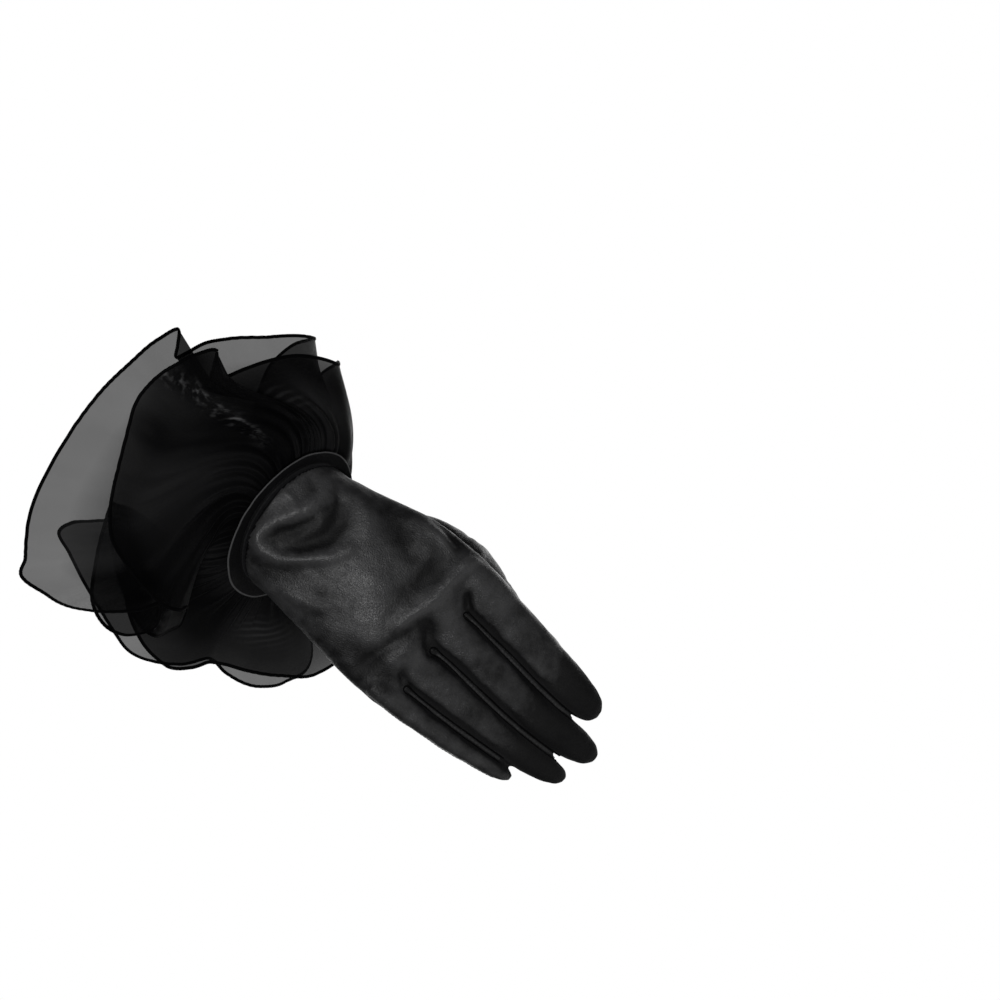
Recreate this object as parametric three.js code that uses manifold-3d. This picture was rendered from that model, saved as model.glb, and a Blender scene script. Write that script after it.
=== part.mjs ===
// A wrist length dress glove for the right hand, held in the form it has when worn:
// a satin hand with a separate thumb and three strips between the fingers, a narrow
// turned lip at the wrist, and a gathered cuff of two sheer tiers with stitched hems.
//
// Frame, in millimetres: the origin is the middle of the wrist mouth. The fingers point
// down (-Z), the index finger side is +X and the back of the hand faces -Y. The cuff
// opens along the forearm, which leans away from the back of the hand by forearmLean.

import * as THREE from 'three';
import { mergeVertices } from 'three/addons/utils/BufferGeometryUtils.js';
import Module from 'manifold-3d';

// Driving sizes.
const handLength = 159;       // wrist mouth to the tip of the middle finger
const palmWidth = 75;         // across the knuckles
const palmDepth = 26;         // through the palm
const satinWall = 1.2;        // the hand's cloth
const sheerWall = 1.1;        // the tiers' cloth
const seamGap = 0.3;          // between two pieces that are sewn together
const hemGap = 0.45;          // between a tier and the roll along its hem
const mouthHalfWidth = 29;    // the wrist mouth, across the hand
const mouthHalfDepth = 22;    // the wrist mouth, in its own leaning plane
const forearmLean = 40;       // degrees from the hand's own axis
const lipRoot = 0.4;          // where the turned lip leaves the rim
const lipFold = 0.8;          // where its upper layer leaves the rim
const lipReach = 3.8;         // how far the turned lip stands out
const lipDroop = 0.9;         // how far its edge drops toward the hand
const hemRadius = 0.75;       // the overlocked hems of the tiers
const lipHemRadius = 0.7;
const longTierWidth = 82;     // root to hem
const shortTierWidth = 67;
const shortTierRise = 2.5;    // the tier's root above the mouth plane
const longTierRise = 4.4;
const settleReach = 50;       // where a fold has reached its own turn and flare
const lateTurn = 2.6;         // how late a fold swings sideways; 1 is evenly
const gatherHeight = 0.7;     // the small pleats that leave the seam, one for each row of folds
const gatherReach = 34;       // where they have faded out
const halvedGap = 0.0145;     // rows farther apart than this share get a point between
const rootFlare = 60;         // degrees, where the gathers leave the seam
const rootFlareShare = 0.25;  // how much of the fold's flare is felt at the seam
const tierSpread = 6;         // degrees between the two roots
const gatherEvenness = 0.3;   // how far the gathers follow their folds at the seam
const gatherSpread = 0.16;    // the share of the round that they are evened over
const fingerSquareness = 2.7; // 2 is an ellipse
const bandHalfDepth = 3.4;    // the strips between the fingers
const bandOverlap = 6;        // how far a strip reaches past the web and short of the tip

// The wrist at its mouth: levels are shares of handLength, widths of mouthHalfWidth and
// depths of the mouth's half depth as the hand's own axis sees it.
const wristSections = [
  // level, left, right, middle depth, half depth, squareness
  [0.1132, -1, 1, -0.01, 1, 2.00],
  [0.0566, -1, 1, 0.00, 1, 2.00],
  [0.0000, -1, 1, 0.00, 1, 2.00],
];

// The palm from the wrist to the webs: levels are shares of handLength, widths of
// palmWidth and depths of palmDepth. A squareness of 2 is an ellipse.
const palmSections = [
  // level, left, right, middle depth, half depth, squareness
  [-0.0472, -0.3907, 0.3867, 0.0077, 0.6385, 2.05],
  [-0.0943, -0.4080, 0.4000, 0.0192, 0.6154, 2.10],
  [-0.1384, -0.4267, 0.4147, 0.0308, 0.5885, 2.15],
  [-0.1824, -0.4440, 0.4320, 0.0423, 0.5654, 2.20],
  [-0.2327, -0.4653, 0.4547, 0.0577, 0.5462, 2.25],
  [-0.2830, -0.4853, 0.4720, 0.0769, 0.5308, 2.30],
  [-0.3270, -0.5013, 0.4760, 0.1000, 0.5192, 2.35],
  [-0.3648, -0.5133, 0.4733, 0.1231, 0.5077, 2.40],
  [-0.4025, -0.5213, 0.4693, 0.1577, 0.4846, 2.40],
  [-0.4403, -0.5307, 0.4640, 0.2077, 0.4308, 2.40],
  [-0.4717, -0.5293, 0.4547, 0.2615, 0.3538, 2.40],
  [-0.4931, -0.5147, 0.4427, 0.3000, 0.2385, 2.20],
];

// The fingers, in the same shares.
const fingerSections = {
  // level, middle, half width, half depth
  little: [
    [-0.4151, -0.4293, 0.0920, 0.3462],
    [-0.4780, -0.4480, 0.0800, 0.3269],
    [-0.5283, -0.4547, 0.0747, 0.3000],
    [-0.5849, -0.4573, 0.0707, 0.2885],
    [-0.6415, -0.4573, 0.0680, 0.2769],
    [-0.7044, -0.4533, 0.0640, 0.2615],
    [-0.7610, -0.4467, 0.0580, 0.2385],
    [-0.8050, -0.4413, 0.0507, 0.2000],
    [-0.8340, -0.4387, 0.0333, 0.1231],
    [-0.8472, -0.4373, 0.0147, 0.0500],
  ],
  ring: [
    [-0.4151, -0.2240, 0.1267, 0.3615],
    [-0.4780, -0.2373, 0.1227, 0.3423],
    [-0.5409, -0.2440, 0.1213, 0.3192],
    [-0.6101, -0.2600, 0.1147, 0.3000],
    [-0.6792, -0.2720, 0.1080, 0.2885],
    [-0.7547, -0.2813, 0.1000, 0.2731],
    [-0.8302, -0.2853, 0.0920, 0.2577],
    [-0.8868, -0.2827, 0.0800, 0.2269],
    [-0.9346, -0.2773, 0.0600, 0.1769],
    [-0.9572, -0.2733, 0.0387, 0.1115],
    [-0.9654, -0.2720, 0.0160, 0.0462],
  ],
  middle: [
    [-0.4151, 0.0347, 0.1320, 0.3654],
    [-0.4780, 0.0267, 0.1320, 0.3462],
    [-0.5283, 0.0200, 0.1267, 0.3269],
    [-0.6038, -0.0053, 0.1233, 0.3077],
    [-0.6792, -0.0320, 0.1227, 0.2962],
    [-0.7547, -0.0573, 0.1213, 0.2846],
    [-0.8302, -0.0747, 0.1160, 0.2692],
    [-0.8994, -0.0813, 0.1040, 0.2538],
    [-0.9560, -0.0787, 0.0800, 0.2154],
    [-0.9874, -0.0760, 0.0520, 0.1385],
    [-1.0000, -0.0747, 0.0227, 0.0577],
  ],
  index: [
    [-0.4151, 0.3053, 0.1440, 0.3654],
    [-0.4780, 0.3013, 0.1467, 0.3500],
    [-0.5283, 0.2933, 0.1400, 0.3269],
    [-0.5975, 0.2640, 0.1307, 0.3077],
    [-0.6667, 0.2360, 0.1267, 0.3000],
    [-0.7421, 0.2013, 0.1247, 0.2885],
    [-0.8113, 0.1720, 0.1173, 0.2731],
    [-0.8679, 0.1507, 0.1053, 0.2500],
    [-0.9082, 0.1400, 0.0827, 0.2154],
    [-0.9302, 0.1373, 0.0520, 0.1385],
    [-0.9384, 0.1360, 0.0227, 0.0577],
  ],
};

// The curve that the fingers follow away from the back of the hand, in handLength.
const fingerBend = [
  // level, middle depth
  [-0.3145, 0.0113],
  [-0.4151, 0.0289],
  [-0.4780, 0.0465],
  [-0.5409, 0.0667],
  [-0.6164, 0.0937],
  [-0.6918, 0.1233],
  [-0.7673, 0.1560],
  [-0.8428, 0.1912],
  [-0.9182, 0.2289],
  [-1.0063, 0.2755],
];

// The thumb, which crosses behind the palm.
const thumbSections = [
  // level, middle, middle depth, half width, half depth
  [-0.1509, 0.2533, 0.2692, 0.0867, 0.2885],
  [-0.2264, 0.3120, 0.3846, 0.1173, 0.3615],
  [-0.3019, 0.3640, 0.5923, 0.1253, 0.3923],
  [-0.3648, 0.3853, 0.7808, 0.1267, 0.4000],
  [-0.4277, 0.3920, 0.9615, 0.1253, 0.3846],
  [-0.4843, 0.3627, 1.1115, 0.1240, 0.3538],
  [-0.5409, 0.3187, 1.2269, 0.1200, 0.3308],
  [-0.5975, 0.2787, 1.3154, 0.1133, 0.3077],
  [-0.6415, 0.2507, 1.3692, 0.0960, 0.2654],
  [-0.6717, 0.2347, 1.4000, 0.0653, 0.1808],
  [-0.6843, 0.2293, 1.4115, 0.0293, 0.0808],
];

// Soft folds and hollows of the satin on the back of the hand.
const backFolds = [
  // from x, from level, to x, to level, half width, height
  [-0.200, 0.025, -0.033, -0.138, 0.051, 0.100],
  [-0.107, -0.006, 0.200, -0.145, 0.061, -0.092],
  [-0.267, -0.013, -0.120, -0.176, 0.056, -0.069],
  [-0.360, -0.390, 0.400, -0.377, 0.080, 0.042],
  [0.107, -0.038, 0.293, -0.063, 0.093, 0.031],
  [-0.400, -0.277, 0.373, -0.289, 0.120, -0.027],
];

// The cuff's folds, once round the wrist from the back: a row for each change of a fold.
// The turn is the angle about the wrist and the flare the angle from the forearm, both
// in degrees at the hem. The reach is a share of the tier's width.
const folds = [
  // long turn, long flare, long reach, short turn, short flare, short reach
  [ -78.0,  14.0, 0.950,  -78.0,  27.0, 0.900],
  [ -45.0,  12.0, 0.950,  -45.0,  25.0, 0.900],
  [ -20.0,  17.0, 0.900,  -20.0,  32.0, 0.860],
  [  -6.0,  28.0, 0.800,   -6.0,  45.0, 0.740],
  [  -1.6,  39.0, 0.729,    6.4,  55.0, 0.636],
  [  24.0,  38.0, 0.672,   26.0,  52.0, 0.655],
  [  40.1,  37.0, 0.721,   39.0,  51.0, 0.661],
  [  51.6,  37.0, 0.753,   49.3,  51.0, 0.672],
  [  61.2,  39.0, 0.758,   59.4,  53.5, 0.699],
  [  65.7,  42.5, 0.771,   64.4,  57.5, 0.742],
  [  63.7,  46.5, 0.811,   61.7,  61.0, 0.810],
  [  61.5,  50.0, 0.870,   59.2,  63.5, 0.884],
  [  69.0,  52.0, 0.901,   65.3,  64.0, 0.949],
  [  80.3,  54.0, 0.923,   74.4,  63.0, 0.997],
  [  91.3,  55.0, 0.951,   85.1,  62.5, 1.016],
  [ 103.1,  55.5, 0.974,   98.1,  63.0, 0.934],
  [ 116.8,  55.5, 1.005,  111.5,  65.5, 0.879],
  [ 130.2,  55.5, 1.039,  120.7,  69.0, 0.863],
  [ 140.7,  56.0, 1.043,  126.5,  76.0, 0.856],
  [ 143.9,  58.0, 1.070,  130.2,  86.0, 0.830],
  [ 146.5,  66.0, 0.963,  133.1,  94.0, 0.811],
  [ 144.1,  77.0, 0.914,  135.5, 101.0, 0.800],
  [ 141.5,  89.0, 0.851,  140.8, 106.0, 0.726],
  [ 142.5,  97.0, 0.695,  147.0, 110.0, 0.643],
  [ 145.5, 101.0, 0.543,  154.2, 111.0, 0.569],
  [ 149.5, 102.0, 0.580,  157.0, 108.0, 0.600],
  [ 154.5,  92.0, 0.660,  163.0,  96.0, 0.620],
  [ 157.5,  76.0, 0.720,  168.5,  82.0, 0.660],
  [ 156.0,  62.0, 0.740,  167.0,  69.0, 0.700],
  [ 148.0,  53.5, 0.700,  160.0,  56.0, 0.720],
  [ 134.5,  52.0, 0.660,  148.5,  47.0, 0.760],
  [ 126.5,  44.5, 0.640,  135.8,  42.0, 0.783],
  [ 139.4,  31.5, 0.608,  144.4,  39.5, 0.763],
  [ 146.3,  29.0, 0.778,  154.4,  38.5, 0.757],
  [ 149.9,  28.5, 0.915,  165.0,  43.5, 0.755],
  [ 153.7,  29.5, 0.976,  173.1,  49.5, 0.788],
  [ 160.7,  32.0, 0.931,  179.5,  55.5, 0.815],
  [ 175.1,  41.0, 0.854,  186.6,  60.0, 0.852],
  [ 183.7,  50.0, 0.819,  194.7,  64.0, 0.882],
  [ 188.6,  55.0, 0.814,  197.4,  71.0, 0.764],
  [ 195.7,  60.0, 0.787,  198.4,  79.0, 0.640],
  [ 201.3,  65.0, 0.710,  202.9,  84.0, 0.623],
  [ 207.0,  70.0, 0.614,  211.8,  88.0, 0.669],
  [ 213.2,  76.0, 0.679,  224.3,  91.0, 0.766],
  [ 222.3,  82.0, 0.761,  234.9,  95.0, 0.844],
  [ 229.1,  86.0, 0.749,  249.0,  93.0, 0.860],
  [ 243.0,  78.0, 0.900,  256.0,  84.0, 0.840],
  [ 254.0,  56.0, 0.920,  264.0,  66.0, 0.840],
  [ 266.0,  32.0, 0.940,  271.0,  46.0, 0.880],
];

const foldColumns = {
  long: { turn: 0, flare: 1, reach: 2, width: longTierWidth, rise: longTierRise },
  short: { turn: 3, flare: 4, reach: 5, width: shortTierWidth, rise: shortTierRise },
};
// The tiers' rows: near the seam at the same shares of settleReach in both, then shares
// of the rest of each tier.
const seamRows = [0, 0.14, 0.34, 0.6];
const hemRows = [0.5, 1];
const roundPoints = { palm: 26, finger: 12, thumb: 12, lip: 38, hem: 4 };
const hollowPoints = { palm: 20, finger: 8, thumb: 8 };

const colours = {
  satin: { color: 0x2b2b2e, roughness: 0.42, metalness: 0 },
  lip: { color: 0x3a3a3d, roughness: 0.4, metalness: 0 },
  sheer: { color: 0x3c3c40, roughness: 0.6, metalness: 0, transparent: true, opacity: 0.82 },
  hem: { color: 0x101012, roughness: 0.7, metalness: 0 },
};

const radians = (degrees) => (degrees * Math.PI) / 180;
const clamp = (value, low, high) => Math.min(high, Math.max(low, value));
const lean = radians(forearmLean);
const alongArm = new THREE.Vector3(0, Math.sin(lean), Math.cos(lean));
const acrossMouth = new THREE.Vector3(1, 0, 0);
const frontOfMouth = new THREE.Vector3(0, -Math.cos(lean), Math.sin(lean));

// Joining and cutting closed meshes.
const wasm = await Module();
wasm.setup();

function solidOf(geometry) {
  const bare = geometry.clone();
  bare.deleteAttribute('normal');
  bare.deleteAttribute('uv');
  const merged = mergeVertices(bare, 1e-4);
  return new wasm.Manifold(new wasm.Mesh({
    numProp: 3,
    vertProperties: Float32Array.from(merged.attributes.position.array),
    triVerts: Uint32Array.from(merged.index.array),
  }));
}

function geometryOf(solid) {
  const mesh = solid.getMesh();
  const geometry = new THREE.BufferGeometry();
  geometry.setAttribute('position', new THREE.BufferAttribute(Float32Array.from(mesh.vertProperties), 3));
  geometry.setIndex(new THREE.BufferAttribute(Uint32Array.from(mesh.triVerts), 1));
  geometry.computeVertexNormals();
  return geometry;
}

// A closed body from rings of equal count; capped at both ends, or joined end to end.
function loft(rings, joined = false) {
  const count = rings[0].length;
  const places = rings.flat().flatMap((point) => [point.x, point.y, point.z]);
  const faces = [];
  const last = joined ? rings.length : rings.length - 1;
  for (let ring = 0; ring < last; ring += 1) {
    const here = ring * count;
    const next = ((ring + 1) % rings.length) * count;
    for (let side = 0; side < count; side += 1) {
      const after = (side + 1) % count;
      faces.push(here + side, here + after, next + after, here + side, next + after, next + side);
    }
  }
  if (!joined) {
    const end = (rings.length - 1) * count;
    for (let side = 1; side < count - 1; side += 1) {
      faces.push(0, side + 1, side, end, end + side, end + side + 1);
    }
  }
  const geometry = new THREE.BufferGeometry();
  geometry.setAttribute('position', new THREE.Float32BufferAttribute(places, 3));
  geometry.setIndex(faces);
  if (volumeOf(geometry) < 0) {
    for (let face = 0; face < faces.length; face += 3) {
      [faces[face + 1], faces[face + 2]] = [faces[face + 2], faces[face + 1]];
    }
    geometry.setIndex(faces);
  }
  geometry.computeVertexNormals();
  return geometry;
}

function volumeOf(geometry) {
  const [a, b, c] = [new THREE.Vector3(), new THREE.Vector3(), new THREE.Vector3()];
  const { position } = geometry.attributes;
  const index = geometry.index.array;
  let volume = 0;
  for (let face = 0; face < index.length; face += 3) {
    a.fromBufferAttribute(position, index[face]);
    b.fromBufferAttribute(position, index[face + 1]);
    c.fromBufferAttribute(position, index[face + 2]);
    volume += a.dot(b.cross(c)) / 6;
  }
  return volume;
}

// The value of one column of a table between its rows.
function along(table, level, column) {
  const rising = table[0][0] < table[table.length - 1][0];
  const rows = rising ? table : [...table].reverse();
  if (level <= rows[0][0]) return rows[0][column];
  for (let row = 1; row < rows.length; row += 1) {
    if (level <= rows[row][0]) {
      const share = (level - rows[row - 1][0]) / (rows[row][0] - rows[row - 1][0]);
      return THREE.MathUtils.lerp(rows[row - 1][column], rows[row][column], share);
    }
  }
  return rows[rows.length - 1][column];
}

// How far the satin on the back of the hand stands out at a place.
function backRelief(x, z) {
  return backFolds.reduce((sum, [fromX, fromZ, toX, toZ, halfWidth, height]) => {
    const start = new THREE.Vector2(fromX * palmWidth, fromZ * handLength);
    const run = new THREE.Vector2(toX * palmWidth, toZ * handLength).sub(start);
    const offset = new THREE.Vector2(x, z).sub(start);
    const share = clamp(offset.dot(run) / run.lengthSq(), 0, 1);
    const away = offset.sub(run.multiplyScalar(share)).length() / (halfWidth * palmWidth);
    const fade = 0.35 + 0.65 * Math.sin(Math.PI * share);
    return sum + height * palmDepth * fade * Math.exp(-away * away);
  }, 0);
}

function rounded(angle, squareness) {
  const power = 2 / squareness;
  const cosine = Math.cos(angle);
  const sine = Math.sin(angle);
  return [Math.sign(cosine) * Math.abs(cosine) ** power, Math.sign(sine) * Math.abs(sine) ** power];
}

// One level outline of the hand: grow is negative for the hollow inside the cloth.
function levelRing(level, middle, depthMiddle, halfWidth, halfDepth, squareness, count, grow, relief) {
  return Array.from({ length: count }, (_, step) => {
    const [across, through] = rounded((2 * Math.PI * step) / count, squareness);
    const x = middle + across * Math.max(0.35, halfWidth + grow);
    let y = depthMiddle + through * Math.max(0.35, halfDepth + grow);
    if (relief && through < 0) y -= backRelief(x, level) * through * through;
    return new THREE.Vector3(x, y, level);
  });
}

const pointsFor = (piece, grow) => (grow < 0 ? hollowPoints : roundPoints)[piece];

// The hollows follow every second section, which the cloth's thickness hides.
function sectionsFor(sections, grow) {
  if (grow >= 0) return sections;
  const last = sections.length - 1;
  return sections.filter((_, row) => row === 0 || (last - row) % 2 === 0);
}

// The wrist's and the palm's sections in millimetres, from the wrist down.
function palmRows() {
  const mouthDepth = mouthHalfDepth * Math.cos(lean);
  const inSizes = (sections, width, depth) => sections
    .map(([level, left, right, middle, half, squareness]) => [
      level * handLength, left * width, right * width, middle * depth, half * depth, squareness,
    ]);
  return [
    ...inSizes(wristSections, mouthHalfWidth, mouthDepth),
    ...inSizes(palmSections, palmWidth, palmDepth),
  ];
}

function palmSolid(grow) {
  const rings = palmRows().map(([height, left, right, middle, half, squareness], row, rows) => {
    const lastRow = row === rows.length - 1;
    const level = height - (lastRow ? grow : 0) - (row === 0 ? 2 * Math.min(0, Math.sign(grow)) : 0);
    return levelRing(level, (left + right) / 2, middle, (right - left) / 2, half, squareness,
      pointsFor('palm', grow), grow, true);
  });
  return solidOf(loft(rings));
}

function fingerSolid(name, grow) {
  const sections = sectionsFor(fingerSections[name], grow);
  const rings = sections.map(([share, middle, halfWidth, halfDepth], row) => {
    const tip = row === sections.length - 1;
    const level = share * handLength - (tip ? grow : 0);
    const depth = along(fingerBend, level / handLength, 1) * handLength;
    return levelRing(level, middle * palmWidth, depth, halfWidth * palmWidth,
      halfDepth * palmDepth, fingerSquareness, pointsFor('finger', grow), grow, false);
  });
  return solidOf(loft(rings));
}

function thumbSolid(grow) {
  const sections = sectionsFor(thumbSections, grow);
  const rings = sections.map(([share, middle, depth, halfWidth, halfDepth], row) => {
    const tip = row === sections.length - 1;
    return levelRing(share * handLength - (tip ? grow : 0), middle * palmWidth, depth * palmDepth,
      halfWidth * palmWidth, halfDepth * palmDepth, 2, pointsFor('thumb', grow), grow, false);
  });
  return solidOf(loft(rings));
}

function handSolid(grow) {
  return Object.keys(fingerSections)
    .reduce((sum, name) => sum.add(fingerSolid(name, grow)), palmSolid(grow));
}

// Everything on the arm's side of the wrist mouth.
function aboveMouth() {
  const block = new THREE.BoxGeometry(4 * palmWidth, 4 * palmWidth, palmWidth);
  block.translate(0, 0, palmWidth / 2);
  block.applyMatrix4(new THREE.Matrix4().makeBasis(
    acrossMouth, frontOfMouth.clone().negate(), alongArm,
  ));
  return solidOf(block);
}

// The band of depth in which a strip between two neighbouring fingers lies. It follows
// the fingers' bend, from the middle of one finger to the middle of the next.
function bandSolid(low, high, grow) {
  const one = fingerSections[low];
  const two = fingerSections[high];
  const top = Math.min(one[1][0], two[1][0]) * handLength + bandOverlap + grow;
  const shorter = Math.max(one[one.length - 1][0], two[two.length - 1][0]) * handLength;
  const bottom = shorter + 2 * bandOverlap - grow;
  const steps = 7;
  const rings = Array.from({ length: steps + 1 }, (_, step) => {
    const level = THREE.MathUtils.lerp(top, bottom, step / steps);
    const depth = along(fingerBend, level / handLength, 1) * handLength;
    const fromX = along(one, level / handLength, 1) * palmWidth;
    const toX = along(two, level / handLength, 1) * palmWidth;
    const taper = step === steps ? 0.6 : 1;
    const half = bandHalfDepth * taper + grow;
    return [
      new THREE.Vector3(fromX, depth - half, level), new THREE.Vector3(toX, depth - half, level),
      new THREE.Vector3(toX, depth + half, level), new THREE.Vector3(fromX, depth + half, level),
    ];
  });
  return solidOf(loft(rings));
}

const outerHand = handSolid(0);
const innerHand = handSolid(-satinWall);
const outerThumb = thumbSolid(0);
const innerThumb = thumbSolid(-satinWall);
const wristCut = aboveMouth();
const handCloth = outerHand.subtract(innerHand).subtract(wristCut);
const bandPairs = [['index', 'middle'], ['middle', 'ring'], ['ring', 'little']];

let trank = handCloth.subtract(thumbSolid(seamGap));
bandPairs.forEach(([high, low]) => { trank = trank.subtract(bandSolid(low, high, seamGap)); });
const thumb = outerThumb.subtract(innerThumb).subtract(innerHand).subtract(handSolid(seamGap));

// The mouth's rim at an angle, where 0 is the index finger side and 90 the front.
function rimDirection(turn) {
  return acrossMouth.clone().multiplyScalar(Math.cos(turn))
    .addScaledVector(frontOfMouth, Math.sin(turn));
}

function rimPoint(turn) {
  const radius = (mouthHalfWidth * mouthHalfDepth)
    / Math.hypot(mouthHalfDepth * Math.cos(turn), mouthHalfWidth * Math.sin(turn));
  return rimDirection(turn).multiplyScalar(radius);
}

// A ring round the mouth from a profile of [outward, along the arm] places.
function rimRing(profile, count) {
  const rings = Array.from({ length: count }, (_, step) => {
    const turn = (2 * Math.PI * step) / count;
    return profile.map(([outward, rise]) => rimPoint(turn)
      .addScaledVector(rimDirection(turn), outward).addScaledVector(alongArm, rise));
  });
  return loft(rings, true);
}

const lipProfile = [
  [-satinWall, seamGap], [lipRoot, seamGap], [lipReach, seamGap - lipDroop],
  [lipReach, seamGap - lipDroop + 0.8 * satinWall], [lipFold, seamGap + 1.1 * satinWall],
  [-satinWall, seamGap + 1.1 * satinWall],
];
const lipHemProfile = Array.from({ length: roundPoints.hem }, (_, step) => {
  const angle = (2 * Math.PI * step) / roundPoints.hem;
  return [lipReach + seamGap + lipHemRadius * (1 + Math.cos(angle)),
    seamGap - lipDroop + 0.4 * satinWall + lipHemRadius * Math.sin(angle)];
});

// A smooth curve once round through the rows' values, without overshoot.
function roundCurve(knots, values, wholeTurn) {
  const count = values.length;
  const knot = (row) => knots[((row % count) + count) % count] + Math.floor(row / count);
  const value = (row) => values[((row % count) + count) % count] + wholeTurn * Math.floor(row / count);
  const slope = (row) => {
    const before = knot(row) - knot(row - 1);
    const after = knot(row + 1) - knot(row);
    const rise = (value(row) - value(row - 1)) / before;
    const next = (value(row + 1) - value(row)) / after;
    const mean = (rise * after + next * before) / (before + after);
    if (rise * next <= 0) return 0.3 * mean;
    return Math.sign(mean) * Math.min(Math.abs(mean), 2.2 * Math.min(Math.abs(rise), Math.abs(next)));
  };
  return (place) => {
    const turns = Math.floor(place);
    const within = place - turns;
    let row = count - 1;
    while (row > 0 && knots[row] > within) row -= 1;
    const span = knot(row + 1) - knot(row);
    const u = (within - knot(row)) / span;
    return wholeTurn * turns + value(row) * (2 * u ** 3 - 3 * u ** 2 + 1)
      + value(row + 1) * (3 * u ** 2 - 2 * u ** 3)
      + span * (slope(row) * (u ** 3 - 2 * u ** 2 + u) + slope(row + 1) * (u ** 3 - u ** 2));
  };
}

function flarePoint(base, turn, flare, distance) {
  return base.clone().addScaledVector(alongArm, distance * Math.cos(flare))
    .addScaledVector(rimDirection(turn), distance * Math.sin(flare));
}

// Where each row stands round the hem, as a share of the hem's length.
function foldKnots() {
  const hemOf = (row, tier) => {
    const turn = radians(row[tier.turn]);
    return flarePoint(rimPoint(turn), turn, radians(row[tier.flare]), row[tier.reach] * tier.width);
  };
  const lengths = folds.map((row, index) => {
    const next = folds[(index + 1) % folds.length];
    return Object.values(foldColumns)
      .reduce((sum, tier) => sum + hemOf(row, tier).distanceTo(hemOf(next, tier)), 0);
  });
  const whole = lengths.reduce((sum, length) => sum + length, 0);
  let run = 0;
  return lengths.map((length) => { const knot = run / whole; run += length; return knot; });
}

const knots = foldKnots();
// A place is a row number and a share of the way to the next row.
const foldPlaces = folds.flatMap((_, row) => {
  const wide = (knots[row + 1] ?? 1) - knots[row] > halvedGap;
  return wide ? [row, row + 0.5] : [row];
});
function roundShare(place) {
  const row = Math.floor(place);
  return THREE.MathUtils.lerp(knots[row], knots[row + 1] ?? 1, place - row);
}
const curves = Object.fromEntries(Object.entries(foldColumns).map(([name, tier]) => [name, {
  turn: roundCurve(knots, folds.map((row) => row[tier.turn]), 360),
  flare: roundCurve(knots, folds.map((row) => row[tier.flare]), 0),
  reach: roundCurve(knots, folds.map((row) => row[tier.reach]), 0),
}]));

// The gathers at the seam: the folds' turns and flares evened out round the rim.
const firstTurn = folds[0][foldColumns.long.turn];
const spreadSteps = 24;
function evened(place, valueAt) {
  let sum = 0;
  let weight = 0;
  for (let step = -spreadSteps; step <= spreadSteps; step += 1) {
    const share = 0.5 + 0.5 * Math.cos((Math.PI * step) / (spreadSteps + 1));
    sum += share * valueAt(place + (gatherSpread * step) / (spreadSteps + 1));
    weight += share;
  }
  return sum / weight;
}
function seamTurn(place) {
  const drift = (spot) => (curves.long.turn(spot) + curves.short.turn(spot)) / 2 - firstTurn - 360 * spot;
  return firstTurn + 360 * place + gatherEvenness * evened(place, drift);
}
function seamFlare(place) {
  const mean = (spot) => (curves.long.flare(spot) + curves.short.flare(spot)) / 2;
  return rootFlare + rootFlareShare * evened(place, mean);
}

// The middle surface of a tier at a distance from the seam.
function tierPoint(name, rowPlace, distance, height) {
  const tier = foldColumns[name];
  const place = roundShare(rowPlace);
  const settled = Math.sin((Math.min(1, distance / settleReach) * Math.PI) / 2);
  const turned = settled ** lateTurn;
  const atSeam = radians(seamTurn(place));
  const atHem = radians(curves[name].turn(place));
  const turn = THREE.MathUtils.lerp(atSeam, atHem, turned);
  const spread = name === 'short' ? tierSpread : 0;
  const flare = radians(THREE.MathUtils.lerp(seamFlare(place) + spread, curves[name].flare(place), settled));
  const base = rimPoint(atSeam).lerp(rimPoint(atHem), turned).addScaledVector(alongArm, tier.rise);
  const pleat = height * Math.cos(2 * Math.PI * rowPlace)
    * Math.sin(Math.PI * Math.sqrt(Math.min(1, distance / gatherReach)));
  return flarePoint(base, turn, flare, distance)
    .addScaledVector(alongArm, pleat * Math.sin(flare))
    .addScaledVector(rimDirection(turn), -pleat * Math.cos(flare));
}

// A tier's columns of points from the seam to the hem, with the normals of the cloth
// without its pleats, so that both tiers' pleats keep their distance.
function tierSheet(name) {
  const both = foldPlaces.map((rowPlace) => {
    const hem = foldColumns[name].width * curves[name].reach(roundShare(rowPlace));
    const nearSeam = seamRows.map((share) => share * settleReach);
    const seamEnd = nearSeam[nearSeam.length - 1];
    const nearHem = hemRows.map((share) => THREE.MathUtils.lerp(seamEnd, hem, share));
    const distances = [...nearSeam, ...nearHem];
    return [0, gatherHeight].map((height) => distances
      .map((distance) => tierPoint(name, rowPlace, distance, height)));
  });
  const [flat, columns] = [0, 1].map((kind) => both.map((pair) => pair[kind]));
  const count = flat.length;
  const normals = flat.map((column, index) => column.map((point, row) => {
    const before = flat[(index + count - 1) % count][row];
    const after = flat[(index + 1) % count][row];
    const up = column[Math.min(row + 1, column.length - 1)].clone().sub(column[Math.max(row - 1, 0)]);
    return after.clone().sub(before).cross(up).normalize();
  }));
  return { columns, normals };
}

function tierGeometry({ columns, normals }) {
  const rings = columns.map((column, index) => {
    const offset = (point, row, side) => point.clone()
      .addScaledVector(normals[index][row], (side * sheerWall) / 2);
    return [
      ...column.map((point, row) => offset(point, row, 1)),
      ...column.map((point, row) => offset(point, row, -1)).reverse(),
    ];
  });
  return loft(rings, true);
}

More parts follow.
